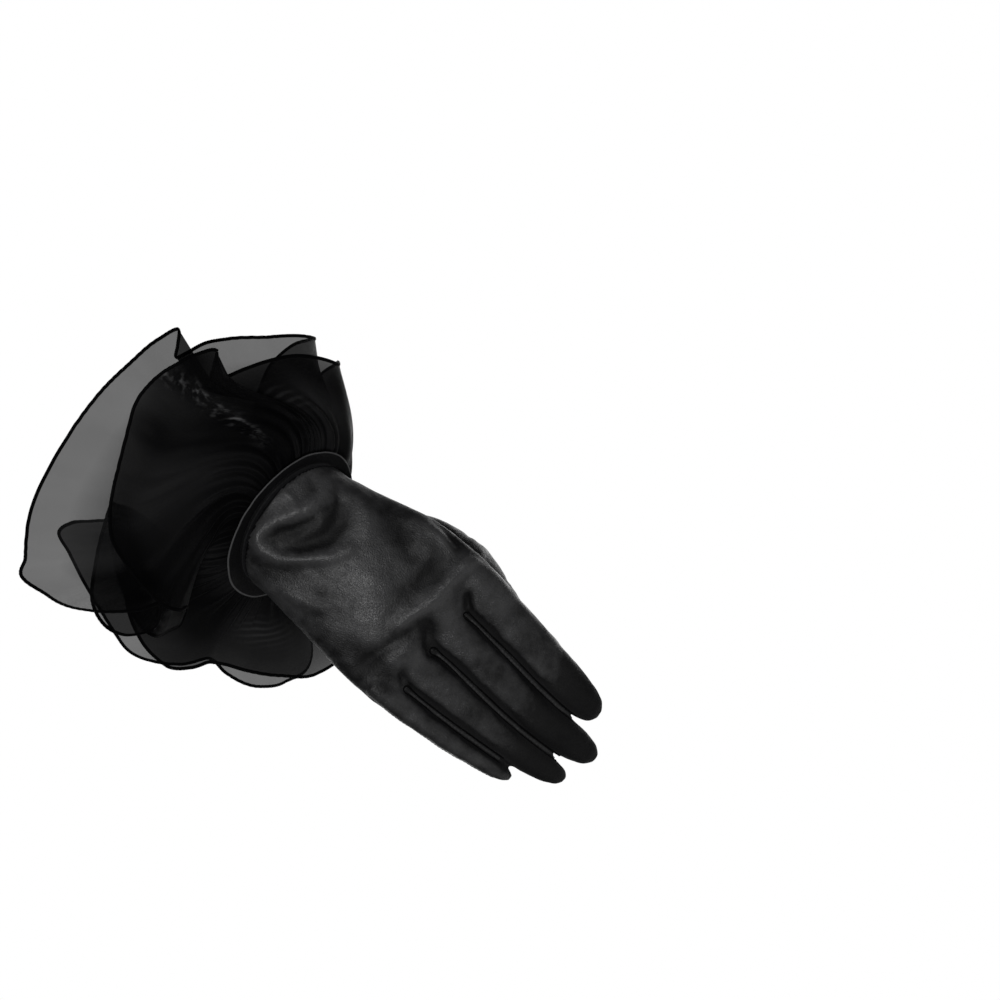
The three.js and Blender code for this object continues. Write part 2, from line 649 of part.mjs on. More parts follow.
// The stitched roll along a tier's hem.
function hemGeometry({ columns, normals }) {
  const count = columns.length;
  const last = columns[0].length - 1;
  const rings = columns.map((column, index) => {
    const run = columns[(index + 1) % count][last].clone()
      .sub(columns[(index + count - 1) % count][last]).normalize();
    const normal = normals[index][last];
    const outward = run.clone().cross(normal).normalize();
    if (outward.dot(column[last].clone().sub(column[last - 1])) < 0) outward.negate();
    const middle = column[last].clone().addScaledVector(outward, hemGap + hemRadius);
    return Array.from({ length: roundPoints.hem }, (_, step) => {
      const angle = (2 * Math.PI * (step + 0.5)) / roundPoints.hem;
      return middle.clone().addScaledVector(outward, hemRadius * Math.cos(angle))
        .addScaledVector(normal, hemRadius * Math.sin(angle));
    });
  });
  return loft(rings, true);
}

const glove = new THREE.Group();

function place(name, geometry, look) {
  const mesh = new THREE.Mesh(geometry, new THREE.MeshStandardMaterial(colours[look]));
  mesh.name = name;
  glove.add(mesh);
}

place('trank', geometryOf(trank), 'satin');
place('thumb', geometryOf(thumb), 'satin');
bandPairs.forEach(([high, low]) => {
  place(`fourchette_${high}_${low}`, geometryOf(handCloth.intersect(bandSolid(low, high, 0))), 'satin');
});
place('wrist_frill', rimRing(lipProfile, roundPoints.lip), 'lip');
place('frill_edge', rimRing(lipHemProfile, roundPoints.lip), 'hem');
['short', 'long'].forEach((name) => {
  const sheet = tierSheet(name);
  place(`ruffle_${name}`, tierGeometry(sheet), 'sheer');
  place(`ruffle_${name}_edge`, hemGeometry(sheet), 'hem');
});

export default glove;
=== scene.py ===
"""The looks of a wrist length dress glove: a satin hand, a turned lip and a gathered cuff
of two sheer organza tiers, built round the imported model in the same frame."""

import math

import bmesh
import bpy
import numpy as np
from mathutils import Matrix, Vector
from mathutils.bvhtree import BVHTree


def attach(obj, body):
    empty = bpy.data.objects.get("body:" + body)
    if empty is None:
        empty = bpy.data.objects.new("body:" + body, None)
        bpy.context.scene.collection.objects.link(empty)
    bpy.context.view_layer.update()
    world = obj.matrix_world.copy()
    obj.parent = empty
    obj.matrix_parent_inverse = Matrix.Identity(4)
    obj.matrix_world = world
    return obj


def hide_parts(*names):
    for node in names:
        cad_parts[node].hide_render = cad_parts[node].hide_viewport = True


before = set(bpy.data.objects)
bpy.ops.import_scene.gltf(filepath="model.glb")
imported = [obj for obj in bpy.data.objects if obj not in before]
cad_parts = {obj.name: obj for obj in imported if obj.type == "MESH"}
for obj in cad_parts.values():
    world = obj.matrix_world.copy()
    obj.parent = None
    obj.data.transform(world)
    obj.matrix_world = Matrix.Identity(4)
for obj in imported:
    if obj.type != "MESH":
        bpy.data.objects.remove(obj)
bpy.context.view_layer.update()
MM = 0.001
# How many waves each octave of noise is made of, and what one turn of a wave counts as.
NOISE_WAVES = 7
NOISE_TURN = 6.28

# Driving sizes, in millimetres, degrees and shares, the same as the solid model's.
HAND_LENGTH = 159
PALM_WIDTH = 75
PALM_DEPTH = 26
SATIN_WALL = 1.2
MOUTH_HALF_WIDTH = 29
MOUTH_HALF_DEPTH = 22
FOREARM_LEAN = math.radians(40)
LIP_REACH = 3.8
LONG_WIDTH = 82
SHORT_WIDTH = 67
SHORT_RISE = 2.5
LONG_RISE = 4.4
SETTLE_REACH = 50
LATE_TURN = 2.6
GATHER_HEIGHT = 0.7
GATHER_REACH = 34
ROOT_FLARE = 60
ROOT_FLARE_SHARE = 0.25
TIER_SPREAD = 6
GATHER_EVENNESS = 0.3
GATHER_SPREAD = 0.16
BAND_HALF_DEPTH = 3.4
FINGER_SQUARENESS = 2.7
BAND_SQUARENESS = 5.0
THUMB_ROOT = 16

# The same tables as the solid model's, as shares of the driving sizes.
WRIST_SECTIONS = [
    # level, left, right, middle depth, half depth, squareness
    (0.1132, -1, 1, -0.01, 1, 2.00), (0.0566, -1, 1, 0.00, 1, 2.00), (0.0000, -1, 1, 0.00, 1, 2.00),
]
PALM_ROWS = [
    # level, left, right, middle depth, half depth, squareness
    (-0.0472, -0.3907, 0.3867, 0.0077, 0.6385, 2.05), (-0.0943, -0.4080, 0.4000, 0.0192, 0.6154, 2.10),
    (-0.1384, -0.4267, 0.4147, 0.0308, 0.5885, 2.15), (-0.1824, -0.4440, 0.4320, 0.0423, 0.5654, 2.20),
    (-0.2327, -0.4653, 0.4547, 0.0577, 0.5462, 2.25), (-0.2830, -0.4853, 0.4720, 0.0769, 0.5308, 2.30),
    (-0.3270, -0.5013, 0.4760, 0.1000, 0.5192, 2.35), (-0.3648, -0.5133, 0.4733, 0.1231, 0.5077, 2.40),
    (-0.4025, -0.5213, 0.4693, 0.1577, 0.4846, 2.40), (-0.4403, -0.5307, 0.4640, 0.2077, 0.4308, 2.40),
    (-0.4717, -0.5293, 0.4547, 0.2615, 0.3538, 2.40), (-0.4931, -0.5147, 0.4427, 0.3000, 0.2385, 2.20),
]
PALM_SECTIONS = [
    (level, left * MOUTH_HALF_WIDTH / PALM_WIDTH, right * MOUTH_HALF_WIDTH / PALM_WIDTH, middle,
     half * MOUTH_HALF_DEPTH * math.cos(FOREARM_LEAN) / PALM_DEPTH, squareness)
    for level, left, right, middle, half, squareness in WRIST_SECTIONS
] + PALM_ROWS
FINGER_SECTIONS = {
    # level, middle, half width, half depth
    "little": [
        (-0.4151, -0.4293, 0.0920, 0.3462), (-0.4780, -0.4480, 0.0800, 0.3269),
        (-0.5283, -0.4547, 0.0747, 0.3000), (-0.5849, -0.4573, 0.0707, 0.2885),
        (-0.6415, -0.4573, 0.0680, 0.2769), (-0.7044, -0.4533, 0.0640, 0.2615),
        (-0.7610, -0.4467, 0.0580, 0.2385), (-0.8050, -0.4413, 0.0507, 0.2000),
        (-0.8340, -0.4387, 0.0333, 0.1231), (-0.8472, -0.4373, 0.0147, 0.0500),
    ],
    "ring": [
        (-0.4151, -0.2240, 0.1267, 0.3615), (-0.4780, -0.2373, 0.1227, 0.3423),
        (-0.5409, -0.2440, 0.1213, 0.3192), (-0.6101, -0.2600, 0.1147, 0.3000),
        (-0.6792, -0.2720, 0.1080, 0.2885), (-0.7547, -0.2813, 0.1000, 0.2731),
        (-0.8302, -0.2853, 0.0920, 0.2577), (-0.8868, -0.2827, 0.0800, 0.2269),
        (-0.9346, -0.2773, 0.0600, 0.1769), (-0.9572, -0.2733, 0.0387, 0.1115),
        (-0.9654, -0.2720, 0.0160, 0.0462),
    ],
    "middle": [
        (-0.4151, 0.0347, 0.1320, 0.3654), (-0.4780, 0.0267, 0.1320, 0.3462),
        (-0.5283, 0.0200, 0.1267, 0.3269), (-0.6038, -0.0053, 0.1233, 0.3077),
        (-0.6792, -0.0320, 0.1227, 0.2962), (-0.7547, -0.0573, 0.1213, 0.2846),
        (-0.8302, -0.0747, 0.1160, 0.2692), (-0.8994, -0.0813, 0.1040, 0.2538),
        (-0.9560, -0.0787, 0.0800, 0.2154), (-0.9874, -0.0760, 0.0520, 0.1385),
        (-1.0000, -0.0747, 0.0227, 0.0577),
    ],
    "index": [
        (-0.4151, 0.3053, 0.1440, 0.3654), (-0.4780, 0.3013, 0.1467, 0.3500),
        (-0.5283, 0.2933, 0.1400, 0.3269), (-0.5975, 0.2640, 0.1307, 0.3077),
        (-0.6667, 0.2360, 0.1267, 0.3000), (-0.7421, 0.2013, 0.1247, 0.2885),
        (-0.8113, 0.1720, 0.1173, 0.2731), (-0.8679, 0.1507, 0.1053, 0.2500),
        (-0.9082, 0.1400, 0.0827, 0.2154), (-0.9302, 0.1373, 0.0520, 0.1385),
        (-0.9384, 0.1360, 0.0227, 0.0577),
    ],
}
FINGER_BEND = [
    # level, middle depth
    (-0.3145, 0.0113), (-0.4151, 0.0289), (-0.4780, 0.0465), (-0.5409, 0.0667), (-0.6164, 0.0937),
    (-0.6918, 0.1233), (-0.7673, 0.1560), (-0.8428, 0.1912), (-0.9182, 0.2289), (-1.0063, 0.2755),
]
THUMB_SECTIONS = [
    # level, middle, middle depth, half width, half depth
    (-0.1509, 0.2533, 0.2692, 0.0867, 0.2885), (-0.2264, 0.3120, 0.3846, 0.1173, 0.3615),
    (-0.3019, 0.3640, 0.5923, 0.1253, 0.3923), (-0.3648, 0.3853, 0.7808, 0.1267, 0.4000),
    (-0.4277, 0.3920, 0.9615, 0.1253, 0.3846), (-0.4843, 0.3627, 1.1115, 0.1240, 0.3538),
    (-0.5409, 0.3187, 1.2269, 0.1200, 0.3308), (-0.5975, 0.2787, 1.3154, 0.1133, 0.3077),
    (-0.6415, 0.2507, 1.3692, 0.0960, 0.2654), (-0.6717, 0.2347, 1.4000, 0.0653, 0.1808),
    (-0.6843, 0.2293, 1.4115, 0.0293, 0.0808),
]
FOLDS = np.array([
    # long turn, long flare, long reach, short turn, short flare, short reach
    (-78, 14, 0.95, -78, 27, 0.9), (-45, 12, 0.95, -45, 25, 0.9), (-20, 17, 0.9, -20, 32, 0.86),
    (-6, 28, 0.8, -6, 45, 0.74), (-1.6, 39, 0.729, 6.4, 55, 0.636), (24, 38, 0.672, 26, 52, 0.655),
    (40.1, 37, 0.721, 39, 51, 0.661), (51.6, 37, 0.753, 49.3, 51, 0.672),
    (61.2, 39, 0.758, 59.4, 53.5, 0.699), (65.7, 42.5, 0.771, 64.4, 57.5, 0.742),
    (63.7, 46.5, 0.811, 61.7, 61, 0.81), (61.5, 50, 0.87, 59.2, 63.5, 0.884),
    (69, 52, 0.901, 65.3, 64, 0.949), (80.3, 54, 0.923, 74.4, 63, 0.997),
    (91.3, 55, 0.951, 85.1, 62.5, 1.016), (103.1, 55.5, 0.974, 98.1, 63, 0.934),
    (116.8, 55.5, 1.005, 111.5, 65.5, 0.879), (130.2, 55.5, 1.039, 120.7, 69, 0.863),
    (140.7, 56, 1.043, 126.5, 76, 0.856), (143.9, 58, 1.07, 130.2, 86, 0.83),
    (146.5, 66, 0.963, 133.1, 94, 0.811), (144.1, 77, 0.914, 135.5, 101, 0.8),
    (141.5, 89, 0.851, 140.8, 106, 0.726), (142.5, 97, 0.695, 147, 110, 0.643),
    (145.5, 101, 0.543, 154.2, 111, 0.569), (149.5, 102, 0.58, 157, 108, 0.6),
    (154.5, 92, 0.66, 163, 96, 0.62), (157.5, 76, 0.72, 168.5, 82, 0.66), (156, 62, 0.74, 167, 69, 0.7),
    (148, 53.5, 0.7, 160, 56, 0.72), (134.5, 52, 0.66, 148.5, 47, 0.76),
    (126.5, 44.5, 0.64, 135.8, 42, 0.783), (139.4, 31.5, 0.608, 144.4, 39.5, 0.763),
    (146.3, 29, 0.778, 154.4, 38.5, 0.757), (149.9, 28.5, 0.915, 165, 43.5, 0.755),
    (153.7, 29.5, 0.976, 173.1, 49.5, 0.788), (160.7, 32, 0.931, 179.5, 55.5, 0.815),
    (175.1, 41, 0.854, 186.6, 60, 0.852), (183.7, 50, 0.819, 194.7, 64, 0.882),
    (188.6, 55, 0.814, 197.4, 71, 0.764), (195.7, 60, 0.787, 198.4, 79, 0.64),
    (201.3, 65, 0.71, 202.9, 84, 0.623), (207, 70, 0.614, 211.8, 88, 0.669),
    (213.2, 76, 0.679, 224.3, 91, 0.766), (222.3, 82, 0.761, 234.9, 95, 0.844),
    (229.1, 86, 0.749, 249, 93, 0.86), (243, 78, 0.9, 256, 84, 0.84), (254, 56, 0.92, 264, 66, 0.84),
    (266, 32, 0.94, 271, 46, 0.88),
])

along_arm = np.array([0, math.sin(FOREARM_LEAN), math.cos(FOREARM_LEAN)])
across_mouth = np.array([1.0, 0, 0])
front_of_mouth = np.array([0, -math.cos(FOREARM_LEAN), math.sin(FOREARM_LEAN)])


# Meshes and small helpers.
def shade_smooth(mesh):
    mesh.polygons.foreach_set("use_smooth", [True] * len(mesh.polygons))


def add_mesh(name, points, faces, uv=None, smooth=True):
    mesh = bpy.data.meshes.new(name)
    mesh.from_pydata((np.asarray(points) * MM).tolist(), [], [tuple(f) for f in faces])
    if smooth:
        shade_smooth(mesh)
    if uv is not None:
        layer = mesh.uv_layers.new(name="cloth")
        loops = np.empty(len(mesh.loops), dtype=int)
        mesh.loops.foreach_get("vertex_index", loops)
        layer.data.foreach_set("uv", np.asarray(uv)[loops].ravel())
    obj = bpy.data.objects.new(name, mesh)
    bpy.context.collection.objects.link(obj)
    return obj


def grid_faces(rows, columns, wrap_rows=False, wrap_columns=True):
    """Quads between rows of points; a point's number is row * columns + column."""
    faces = []
    for row in range(rows if wrap_rows else rows - 1):
        here, there = row * columns, ((row + 1) % rows) * columns
        for column in range(columns if wrap_columns else columns - 1):
            beside = (column + 1) % columns
            faces.append((here + column, here + beside, there + beside, there + column))
    return faces


def dress(obj, look, slot_name, *nodes):
    """Gives a piece its look, hangs it on the root and hides the solids that it stands in for."""
    obj.data.materials.append(look)
    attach(obj, "root")
    if nodes:
        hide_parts(*nodes)
    return obj


def vectors(items, key):
    """One vector of each vertex or face, as rows."""
    rows = np.empty(len(items) * 3)
    items.foreach_get(key, rows)
    return rows.reshape(-1, 3)


def mesh_arrays(mesh):
    return vectors(mesh.vertices, "co") / MM, vectors(mesh.vertices, "normal")


def face_middles(mesh):
    return vectors(mesh.polygons, "center") / MM


def set_points(mesh, points):
    mesh.vertices.foreach_set("co", (points * MM).ravel())
    mesh.update()


def set_value(mesh, name, values):
    mesh.attributes.new(name, "FLOAT", "POINT").data.foreach_set("value", values.ravel())


# The most that a smooth curve's slope is at a point, as a share of the lesser slope beside
# it, and its slope at a peak, as a share of the mean of both.
STEEPEST = 2.2
PEAK_SLOPE = 0.3


def curve_slopes(x, y):
    """The slopes of a smooth curve at its points, held back so that it doesn't overshoot."""
    step, slope = np.diff(x), np.diff(y) / np.diff(x)
    mean = (slope[:-1] * step[1:] + slope[1:] * step[:-1]) / (step[1:] + step[:-1])
    most = STEEPEST * np.minimum(abs(slope[:-1]), abs(slope[1:]))
    is_peak = slope[:-1] * slope[1:] <= 0
    inner = np.where(is_peak, PEAK_SLOPE * mean, np.clip(mean, -most, most))
    return np.concatenate([slope[:1], inner, slope[-1:]])


def curve_at(x, y, spots, first, last):
    """The smooth curve's values at the spots, between its points first and last."""
    slopes = curve_slopes(x, y)
    i = np.clip(np.searchsorted(x, spots, side="right") - 1, first, last)
    step = x[i + 1] - x[i]
    u = (spots - x[i]) / step
    return (
        y[i] * (2 * u**3 - 3 * u**2 + 1) + y[i + 1] * (3 * u**2 - 2 * u**3)
        + step * (slopes[i] * (u**3 - 2 * u**2 + u) + slopes[i + 1] * (u**3 - u**2))
    )


def table_curve(table, column, levels, size=1.0):
    """A smooth curve through one column of a table, against its first column."""
    table = np.asarray(table, float)
    if table[0, 0] > table[-1, 0]:
        table = table[::-1]
    x = table[:, 0]
    return curve_at(x, table[:, column] * size, np.clip(levels, x[0], x[-1]), 0, len(x) - 2)


def smooth_step(low, high, value):
    u = np.clip((value - low) / (high - low), 0, 1)
    return u * u * (3 - 2 * u)


def unit(rows):
    return rows / np.linalg.norm(rows, axis=1)[:, None]


def bump(value, middle, half_width):
    return np.exp(-(((value - middle) / half_width) ** 2))


def soft_noise(points, scale, seed, octaves=3):
    """Repeatable noise from -1 to 1 at each point; scale is its size in millimetres."""
    rng = np.random.default_rng(seed)
    total = np.zeros(len(points))
    for octave in range(octaves):
        for _ in range(NOISE_WAVES):
            direction = rng.normal(size=3)
            direction *= (2**octave) * rng.uniform(0.6, 1.3) / np.linalg.norm(direction)
            wave = points @ direction * NOISE_TURN / scale
            total += np.sin(wave + rng.uniform(0, NOISE_TURN)) / 1.8**octave
    return total / 5.5


# Materials. Scales are in repeats per metre, and the depths of relief are in metres.
class Look:
    """A Principled material with named ways to add noise, weave and bump."""

    def __init__(self, name, **values):
        self.material = bpy.data.materials.new(name)
        self.material.use_nodes = True
        self.nodes = self.material.node_tree.nodes
        self.links = self.material.node_tree.links
        self.shader = self.nodes["Principled BSDF"]
        for key, value in values.items():
            self.shader.inputs[key].default_value = value
        self.height = None

    def node(self, kind, inputs=None, **settings):
        made = self.nodes.new(kind)
        for key, value in settings.items():
            setattr(made, key, value)
        for key, value in (inputs or {}).items():
            if isinstance(value, bpy.types.NodeSocket):
                self.links.new(value, made.inputs[key])
            else:
                made.inputs[key].default_value = value
        return made

    def where(self, uv=False, stretch=(1, 1, 1)):
        source = self.node("ShaderNodeTexCoord")
        mapping = self.node("ShaderNodeMapping", {"Scale": stretch})
        self.links.new(source.outputs["UV" if uv else "Object"], mapping.inputs["Vector"])
        return mapping.outputs[0]

    def drive(self, socket, value):
        self.links.new(value, self.shader.inputs[socket])

    def vertex_value(self, name):
        return self.node("ShaderNodeAttribute", attribute_name=name).outputs["Fac"]

    def noise(self, where, scale, detail, roughness=0.5):
        inputs = {"Vector": where, "Scale": scale, "Detail": detail, "Roughness": roughness}
        return self.node("ShaderNodeTexNoise", inputs).outputs["Fac"]

    def wave(self, direction, where, scale, distortion, detail_scale=1.0):
        inputs = {"Vector": where, "Scale": scale, "Distortion": distortion, "Detail": 1.0,
                  "Detail Scale": detail_scale}
        return self.node("ShaderNodeTexWave", inputs, bands_direction=direction).outputs["Fac"]

    def combine(self, operation, *values, clamp=False):
        made = self.node("ShaderNodeMath", dict(enumerate(values)), operation=operation, use_clamp=clamp)
        return made.outputs[0]

    def ranged(self, value, low, high, start=0.0, end=1.0):
        """A value between start and end, brought between low and high."""
        inputs = {"Value": value, "From Min": start, "From Max": end, "To Min": low, "To Max": high}
        return self.node("ShaderNodeMapRange", inputs).outputs[0]

    def mix_colours(self, share, dark, light, start=0.0, end=1.0):
        ramp = self.node("ShaderNodeValToRGB", {"Fac": share})
        for stop, colour, position in zip(ramp.color_ramp.elements, (dark, light), (start, end)):
            stop.color, stop.position = (*colour, 1), position
        self.drive("Base Color", ramp.outputs[0])

    def relief(self, height, depth, strength):
        made = self.node("ShaderNodeBump", {"Height": height, "Distance": depth, "Strength": strength})
        if self.height is not None:
            self.links.new(self.height, made.inputs["Normal"])
        self.height = made.outputs[0]
        self.drive("Normal", self.height)


SATIN_CLOUDS = 68.0
SATIN_CREASES = 190.0
SATIN_TWILL = 900.0
SATIN_GRAIN = 1600.0
# How far the painted highlight and shade move the satin's tone.
PAINTED_LIGHT_SHARE = 0.3


def satin_look(name, dark, light, roughness, gloss):
    look = Look(name, **{
        "Specular IOR Level": gloss, "Sheen Weight": 0.03, "Sheen Roughness": 0.4,
        "Sheen Tint": (0.75, 0.76, 0.8, 1), "Anisotropic": 0.35,
    })
    clouds = look.noise(look.where(), SATIN_CLOUDS, 6.0, 0.68)
    # painted highlight on a fold's ridge and painted shade in its hollow; the ridge is also glossier and
    # the hollow duller
    tone_and_painted_light = look.combine("MULTIPLY_ADD", look.vertex_value("stretch"), PAINTED_LIGHT_SHARE, clouds)
    look.mix_colours(tone_and_painted_light, dark, light, 0.3, 0.7)
    dullest, glossiest = min(1.0, roughness + 0.58), roughness - 0.3
    look.drive("Roughness", look.ranged(tone_and_painted_light, dullest, glossiest, start=-0.4))
    look.relief(look.noise(look.where(stretch=(1, 1, 0.45)), SATIN_CREASES, 4.0), 0.00045, 0.3)
    look.relief(look.wave("DIAGONAL", look.where(), SATIN_TWILL, 1.5, 2.0), 0.00006, 0.5)
    look.relief(look.noise(look.where(), SATIN_GRAIN, 3.0), 0.00038, 0.7)
    return look.material


ORGANZA_THREADS = 1000.0
ORGANZA_CLOUDS = 55.0
ORGANZA_SPARKS = 290.0
ORGANZA_ARCS = 105.0
ORGANZA_CREASES = 110.0


def organza_look(name):
    look = Look(name, **{
        "Specular IOR Level": 0.06, "Sheen Weight": 0.01, "Sheen Roughness": 0.4,
        "Sheen Tint": (0.8, 0.82, 0.86, 1),
    })
    flat = look.where(uv=True)
    threads = look.combine("MAXIMUM", *(look.wave(way, flat, ORGANZA_THREADS, 0.6) for way in "XY"))
    clouds = look.noise(look.where(uv=True, stretch=(1, 0.35, 1)), ORGANZA_CLOUDS, 3.0)
    # the light that one layer lets through, to the power of the number of layers, counting the layers added
    # as painted shade
    one_layer = look.combine("ADD", look.ranged(clouds, 0.025, -0.025), look.ranged(threads, 0.22, 0.118))
    layers_with_painted_shade = look.vertex_value("cloth_layers_and_painted_shade")
    passed = look.combine("POWER", one_layer, layers_with_painted_shade)
    look.drive("Alpha", look.combine("SUBTRACT", 1.0, passed, clamp=True))
    look.drive("Roughness", look.ranged(clouds, 0.36, 0.52))
    # painted glints of light caught by sharp wrinkles, the watered arcs where two layers' threads cross,
    # and painted light where broad folds face the lamp
    sparks = look.ranged(look.noise(flat, ORGANZA_SPARKS, 4.0), 0.0, 1.0, 0.5, 0.72)
    arcs = look.ranged(look.wave("Y", flat, ORGANZA_ARCS, 7.0, 0.25), 0.0, 1.0, 0.35, 1.0)
    glints = look.combine("MULTIPLY", sparks, look.vertex_value("glint"))
    watered = look.combine("MULTIPLY", arcs, look.vertex_value("watered"))
    arcs_and_painted_light = look.combine("ADD", glints, watered)
    arcs_and_painted_light = look.combine("ADD", arcs_and_painted_light, look.vertex_value("painted_fold_light"), clamp=True)
    look.mix_colours(arcs_and_painted_light, (0.0014, 0.0014, 0.0017), (0.22, 0.22, 0.225))
    look.relief(threads, 0.00008, 0.4)
    crease = look.noise(look.where(uv=True, stretch=(2.4, 0.5, 1)), ORGANZA_CREASES, 3.0)
    look.relief(crease, 0.0006, look.combine("DIVIDE", 0.35, layers_with_painted_shade))
    return look.material


def thread_look(name, dark, light, gloss=0.35, scale=1400.0):
    look = Look(name, **{
        "Specular IOR Level": gloss, "Sheen Weight": 0.01, "Sheen Roughness": 0.5, "Roughness": 0.6,
    })
    fuzz = look.noise(look.where(), scale, 3.0)
    look.mix_colours(fuzz, dark, light)
    look.relief(fuzz, 0.0002, 0.6)
    return look.material


NEAR_BLACK, SOFT_BLACK = (0.0008, 0.0008, 0.001), (0.002, 0.002, 0.0024)
satin = satin_look("charcoal_satin", (0.0015, 0.0015, 0.0019), (0.058, 0.058, 0.0595), 0.37, 0.35)
lining = satin_look("satin_wrong_side", (0.004, 0.004, 0.005), (0.009, 0.009, 0.010), 0.6, 0.2)
# A darker, duller copy of the satin: painted shade on the turned lip, the seam band and the rim's seam.
shaded_satin = satin_look("satin_in_painted_shade", (0.0015, 0.0015, 0.0018), (0.004, 0.004, 0.0045), 0.6, 0.12)
organza = organza_look("black_organza")
overlock = thread_look("overlock_thread", NEAR_BLACK, SOFT_BLACK, 0.03)
# A thread lighter than the satin: painted highlight along the lip's rolled edge.
lit_edge_thread = thread_look("lip_edge_painted_highlight", (0.05, 0.05, 0.052), (0.10, 0.10, 0.102))
seam_thread = thread_look("seam_thread", (0.008, 0.008, 0.009), (0.022, 0.022, 0.024))
strip_satin = thread_look("strip_satin", (0.012, 0.012, 0.0125), (0.028, 0.028, 0.029), 0.4, 900.0)
# Near-black welts that stand for the shadow in the folds beside the fingers' strips: painted shadow.
painted_seam_shadow = thread_look("painted_seam_shadow", NEAR_BLACK, SOFT_BLACK, 0.06)


# Neighbouring fingers and the level of the web between them.
WEBS = (("index", "middle", -79.5), ("middle", "ring", -77.0), ("ring", "little", -77.5))


# The satin hand: the same sections as the solids, joined and smoothed.
def rounded(angle, squareness):
    cosine, sine = np.cos(angle), np.sin(angle)
    power = 2 / squareness
    return np.sign(cosine) * abs(cosine) ** power, np.sign(sine) * abs(sine) ** power


def level_rings(levels, middle, depth, half_width, half_depth, squareness, count):
    angle = 2 * np.pi * np.arange(count) / count
    rings = []
    for i, level in enumerate(levels):
        across, through = rounded(angle, squareness[i])
        rings.append(np.stack([
            middle[i] + across * half_width[i],
            depth[i] + through * half_depth[i],
            np.full(count, level),
        ], axis=1))
    return np.array(rings)


def closed_loft(rings):
    """Points and faces of rings with a fan over each end."""
    rows, count = rings.shape[:2]
    points = np.concatenate([rings.reshape(-1, 3), rings[:1].mean(axis=1), rings[-1:].mean(axis=1)])
    faces = grid_faces(rows, count)
    first, last = rows * count, rows * count + 1
    for side in range(count):
        after = (side + 1) % count
        faces.append((first, after, side))
        faces.append((last, (rows - 1) * count + side, (rows - 1) * count + after))
    return points, faces


# How far above a finger's end its last rings lie, where it rounds off.
NEAR_TIP = np.array([3.2, 2.2, 1.4, 0.8, 0.35, 0.1, 0.0])
LEAST_HALF = 0.3


def dense_levels(table, step):
    """Even levels down a table's sections, and closer ones near its end."""
    top, bottom = table[0][0] * HAND_LENGTH, table[-1][0] * HAND_LENGTH
    even = np.arange(top, bottom, -step)
    return np.concatenate([even[even > bottom + 4], bottom + NEAR_TIP])


def palm_rings(grow, step=1.5, count=120):
    levels = dense_levels(PALM_SECTIONS, step)
    share = levels / HAND_LENGTH
    left, right = (table_curve(PALM_SECTIONS, c, share, PALM_WIDTH) for c in (1, 2))
    depth, half = (table_curve(PALM_SECTIONS, c, share, PALM_DEPTH) for c in (3, 4))
    square = table_curve(PALM_SECTIONS, 5, share)
    middle, half_width = (left + right) / 2, (right - left) / 2
    return level_rings(levels, middle, depth, half_width + grow, half + grow, square, count)


def bend_depth(levels):
    return table_curve(FINGER_BEND, 1, np.asarray(levels) / HAND_LENGTH, HAND_LENGTH)


def across_finger(name, levels):
    """Middle and half width of a finger at each level."""
    share = np.asarray(levels) / HAND_LENGTH
    return [table_curve(FINGER_SECTIONS[name], c, share, PALM_WIDTH) for c in (1, 2)]


def shorter_tip(high, low):
    return max(FINGER_SECTIONS[name][-1][0] for name in (high, low)) * HAND_LENGTH


def finger_rings(name, grow, step=1.2, count=64):
    levels = dense_levels(FINGER_SECTIONS[name], step)
    middle, half_width = across_finger(name, levels)
    half_depth = table_curve(FINGER_SECTIONS[name], 3, levels / HAND_LENGTH, PALM_DEPTH)
    halves = (np.maximum(LEAST_HALF, half + grow) for half in (half_width, half_depth))
    square = np.full(len(levels), FINGER_SQUARENESS)
    return level_rings(levels, middle, bend_depth(levels), *halves, square, count)


def band_rings(high, low, web, grow, step=1.5, count=48):
    """The strip of cloth that closes the gap between two neighbouring fingers."""
    levels = np.arange(web + 4, shorter_tip(high, low) + 12, -step)
    one, two = (across_finger(name, levels)[0] for name in (low, high))
    half_depth = np.full(len(levels), BAND_HALF_DEPTH + grow)
    square = np.full(len(levels), BAND_SQUARENESS)
    middle, half_width = (one + two) / 2, (two - one) / 2
    return level_rings(levels, middle, bend_depth(levels), half_width, half_depth, square, count)


def thumb_sizes(levels):
    """Middle, depth, half width and half depth of the thumb at each level."""
    share = levels / HAND_LENGTH
    middle, half_width = (table_curve(THUMB_SECTIONS, c, share, PALM_WIDTH) for c in (1, 3))
    depth, half_depth = (table_curve(THUMB_SECTIONS, c, share, PALM_DEPTH) for c in (2, 4))
    return middle, depth, half_width, half_depth


def thumb_rings(grow, step=1.2, count=72):
    levels = dense_levels(THUMB_SECTIONS, step)
    middle, depth, half_width, half_depth = thumb_sizes(levels)
    # its root is rounded off, where it grows out of the palm
    root = np.sqrt(1 - (1 - np.clip((levels[0] - levels + 0.6) / THUMB_ROOT, 0, 1)) ** 2)
    return level_rings(levels, middle, depth, (half_width + grow) * root, (half_depth + grow) * root,
                       np.full(len(levels), 2.0), count)


def thumb_distance(points):
    """How far each point is from the thumb's axis; its skin is at 1."""
    middle, depth, half_width, half_depth = thumb_sizes(points[:, 2])
    away = np.hypot((points[:, 0] - middle) / half_width, (points[:, 1] - depth) / half_depth)
    top, tip = THUMB_SECTIONS[0][0] * HAND_LENGTH, THUMB_SECTIONS[-1][0] * HAND_LENGTH
    return away + 9 * ((points[:, 2] > top + 1) | (points[:, 2] < tip - 2))


def apply_modifiers(obj):
    graph = bpy.context.evaluated_depsgraph_get()
    old, made = obj.data, bpy.data.meshes.new_from_object(obj.evaluated_get(graph))
    obj.modifiers.clear()
    obj.data = made
    bpy.data.meshes.remove(old)
    shade_smooth(made)


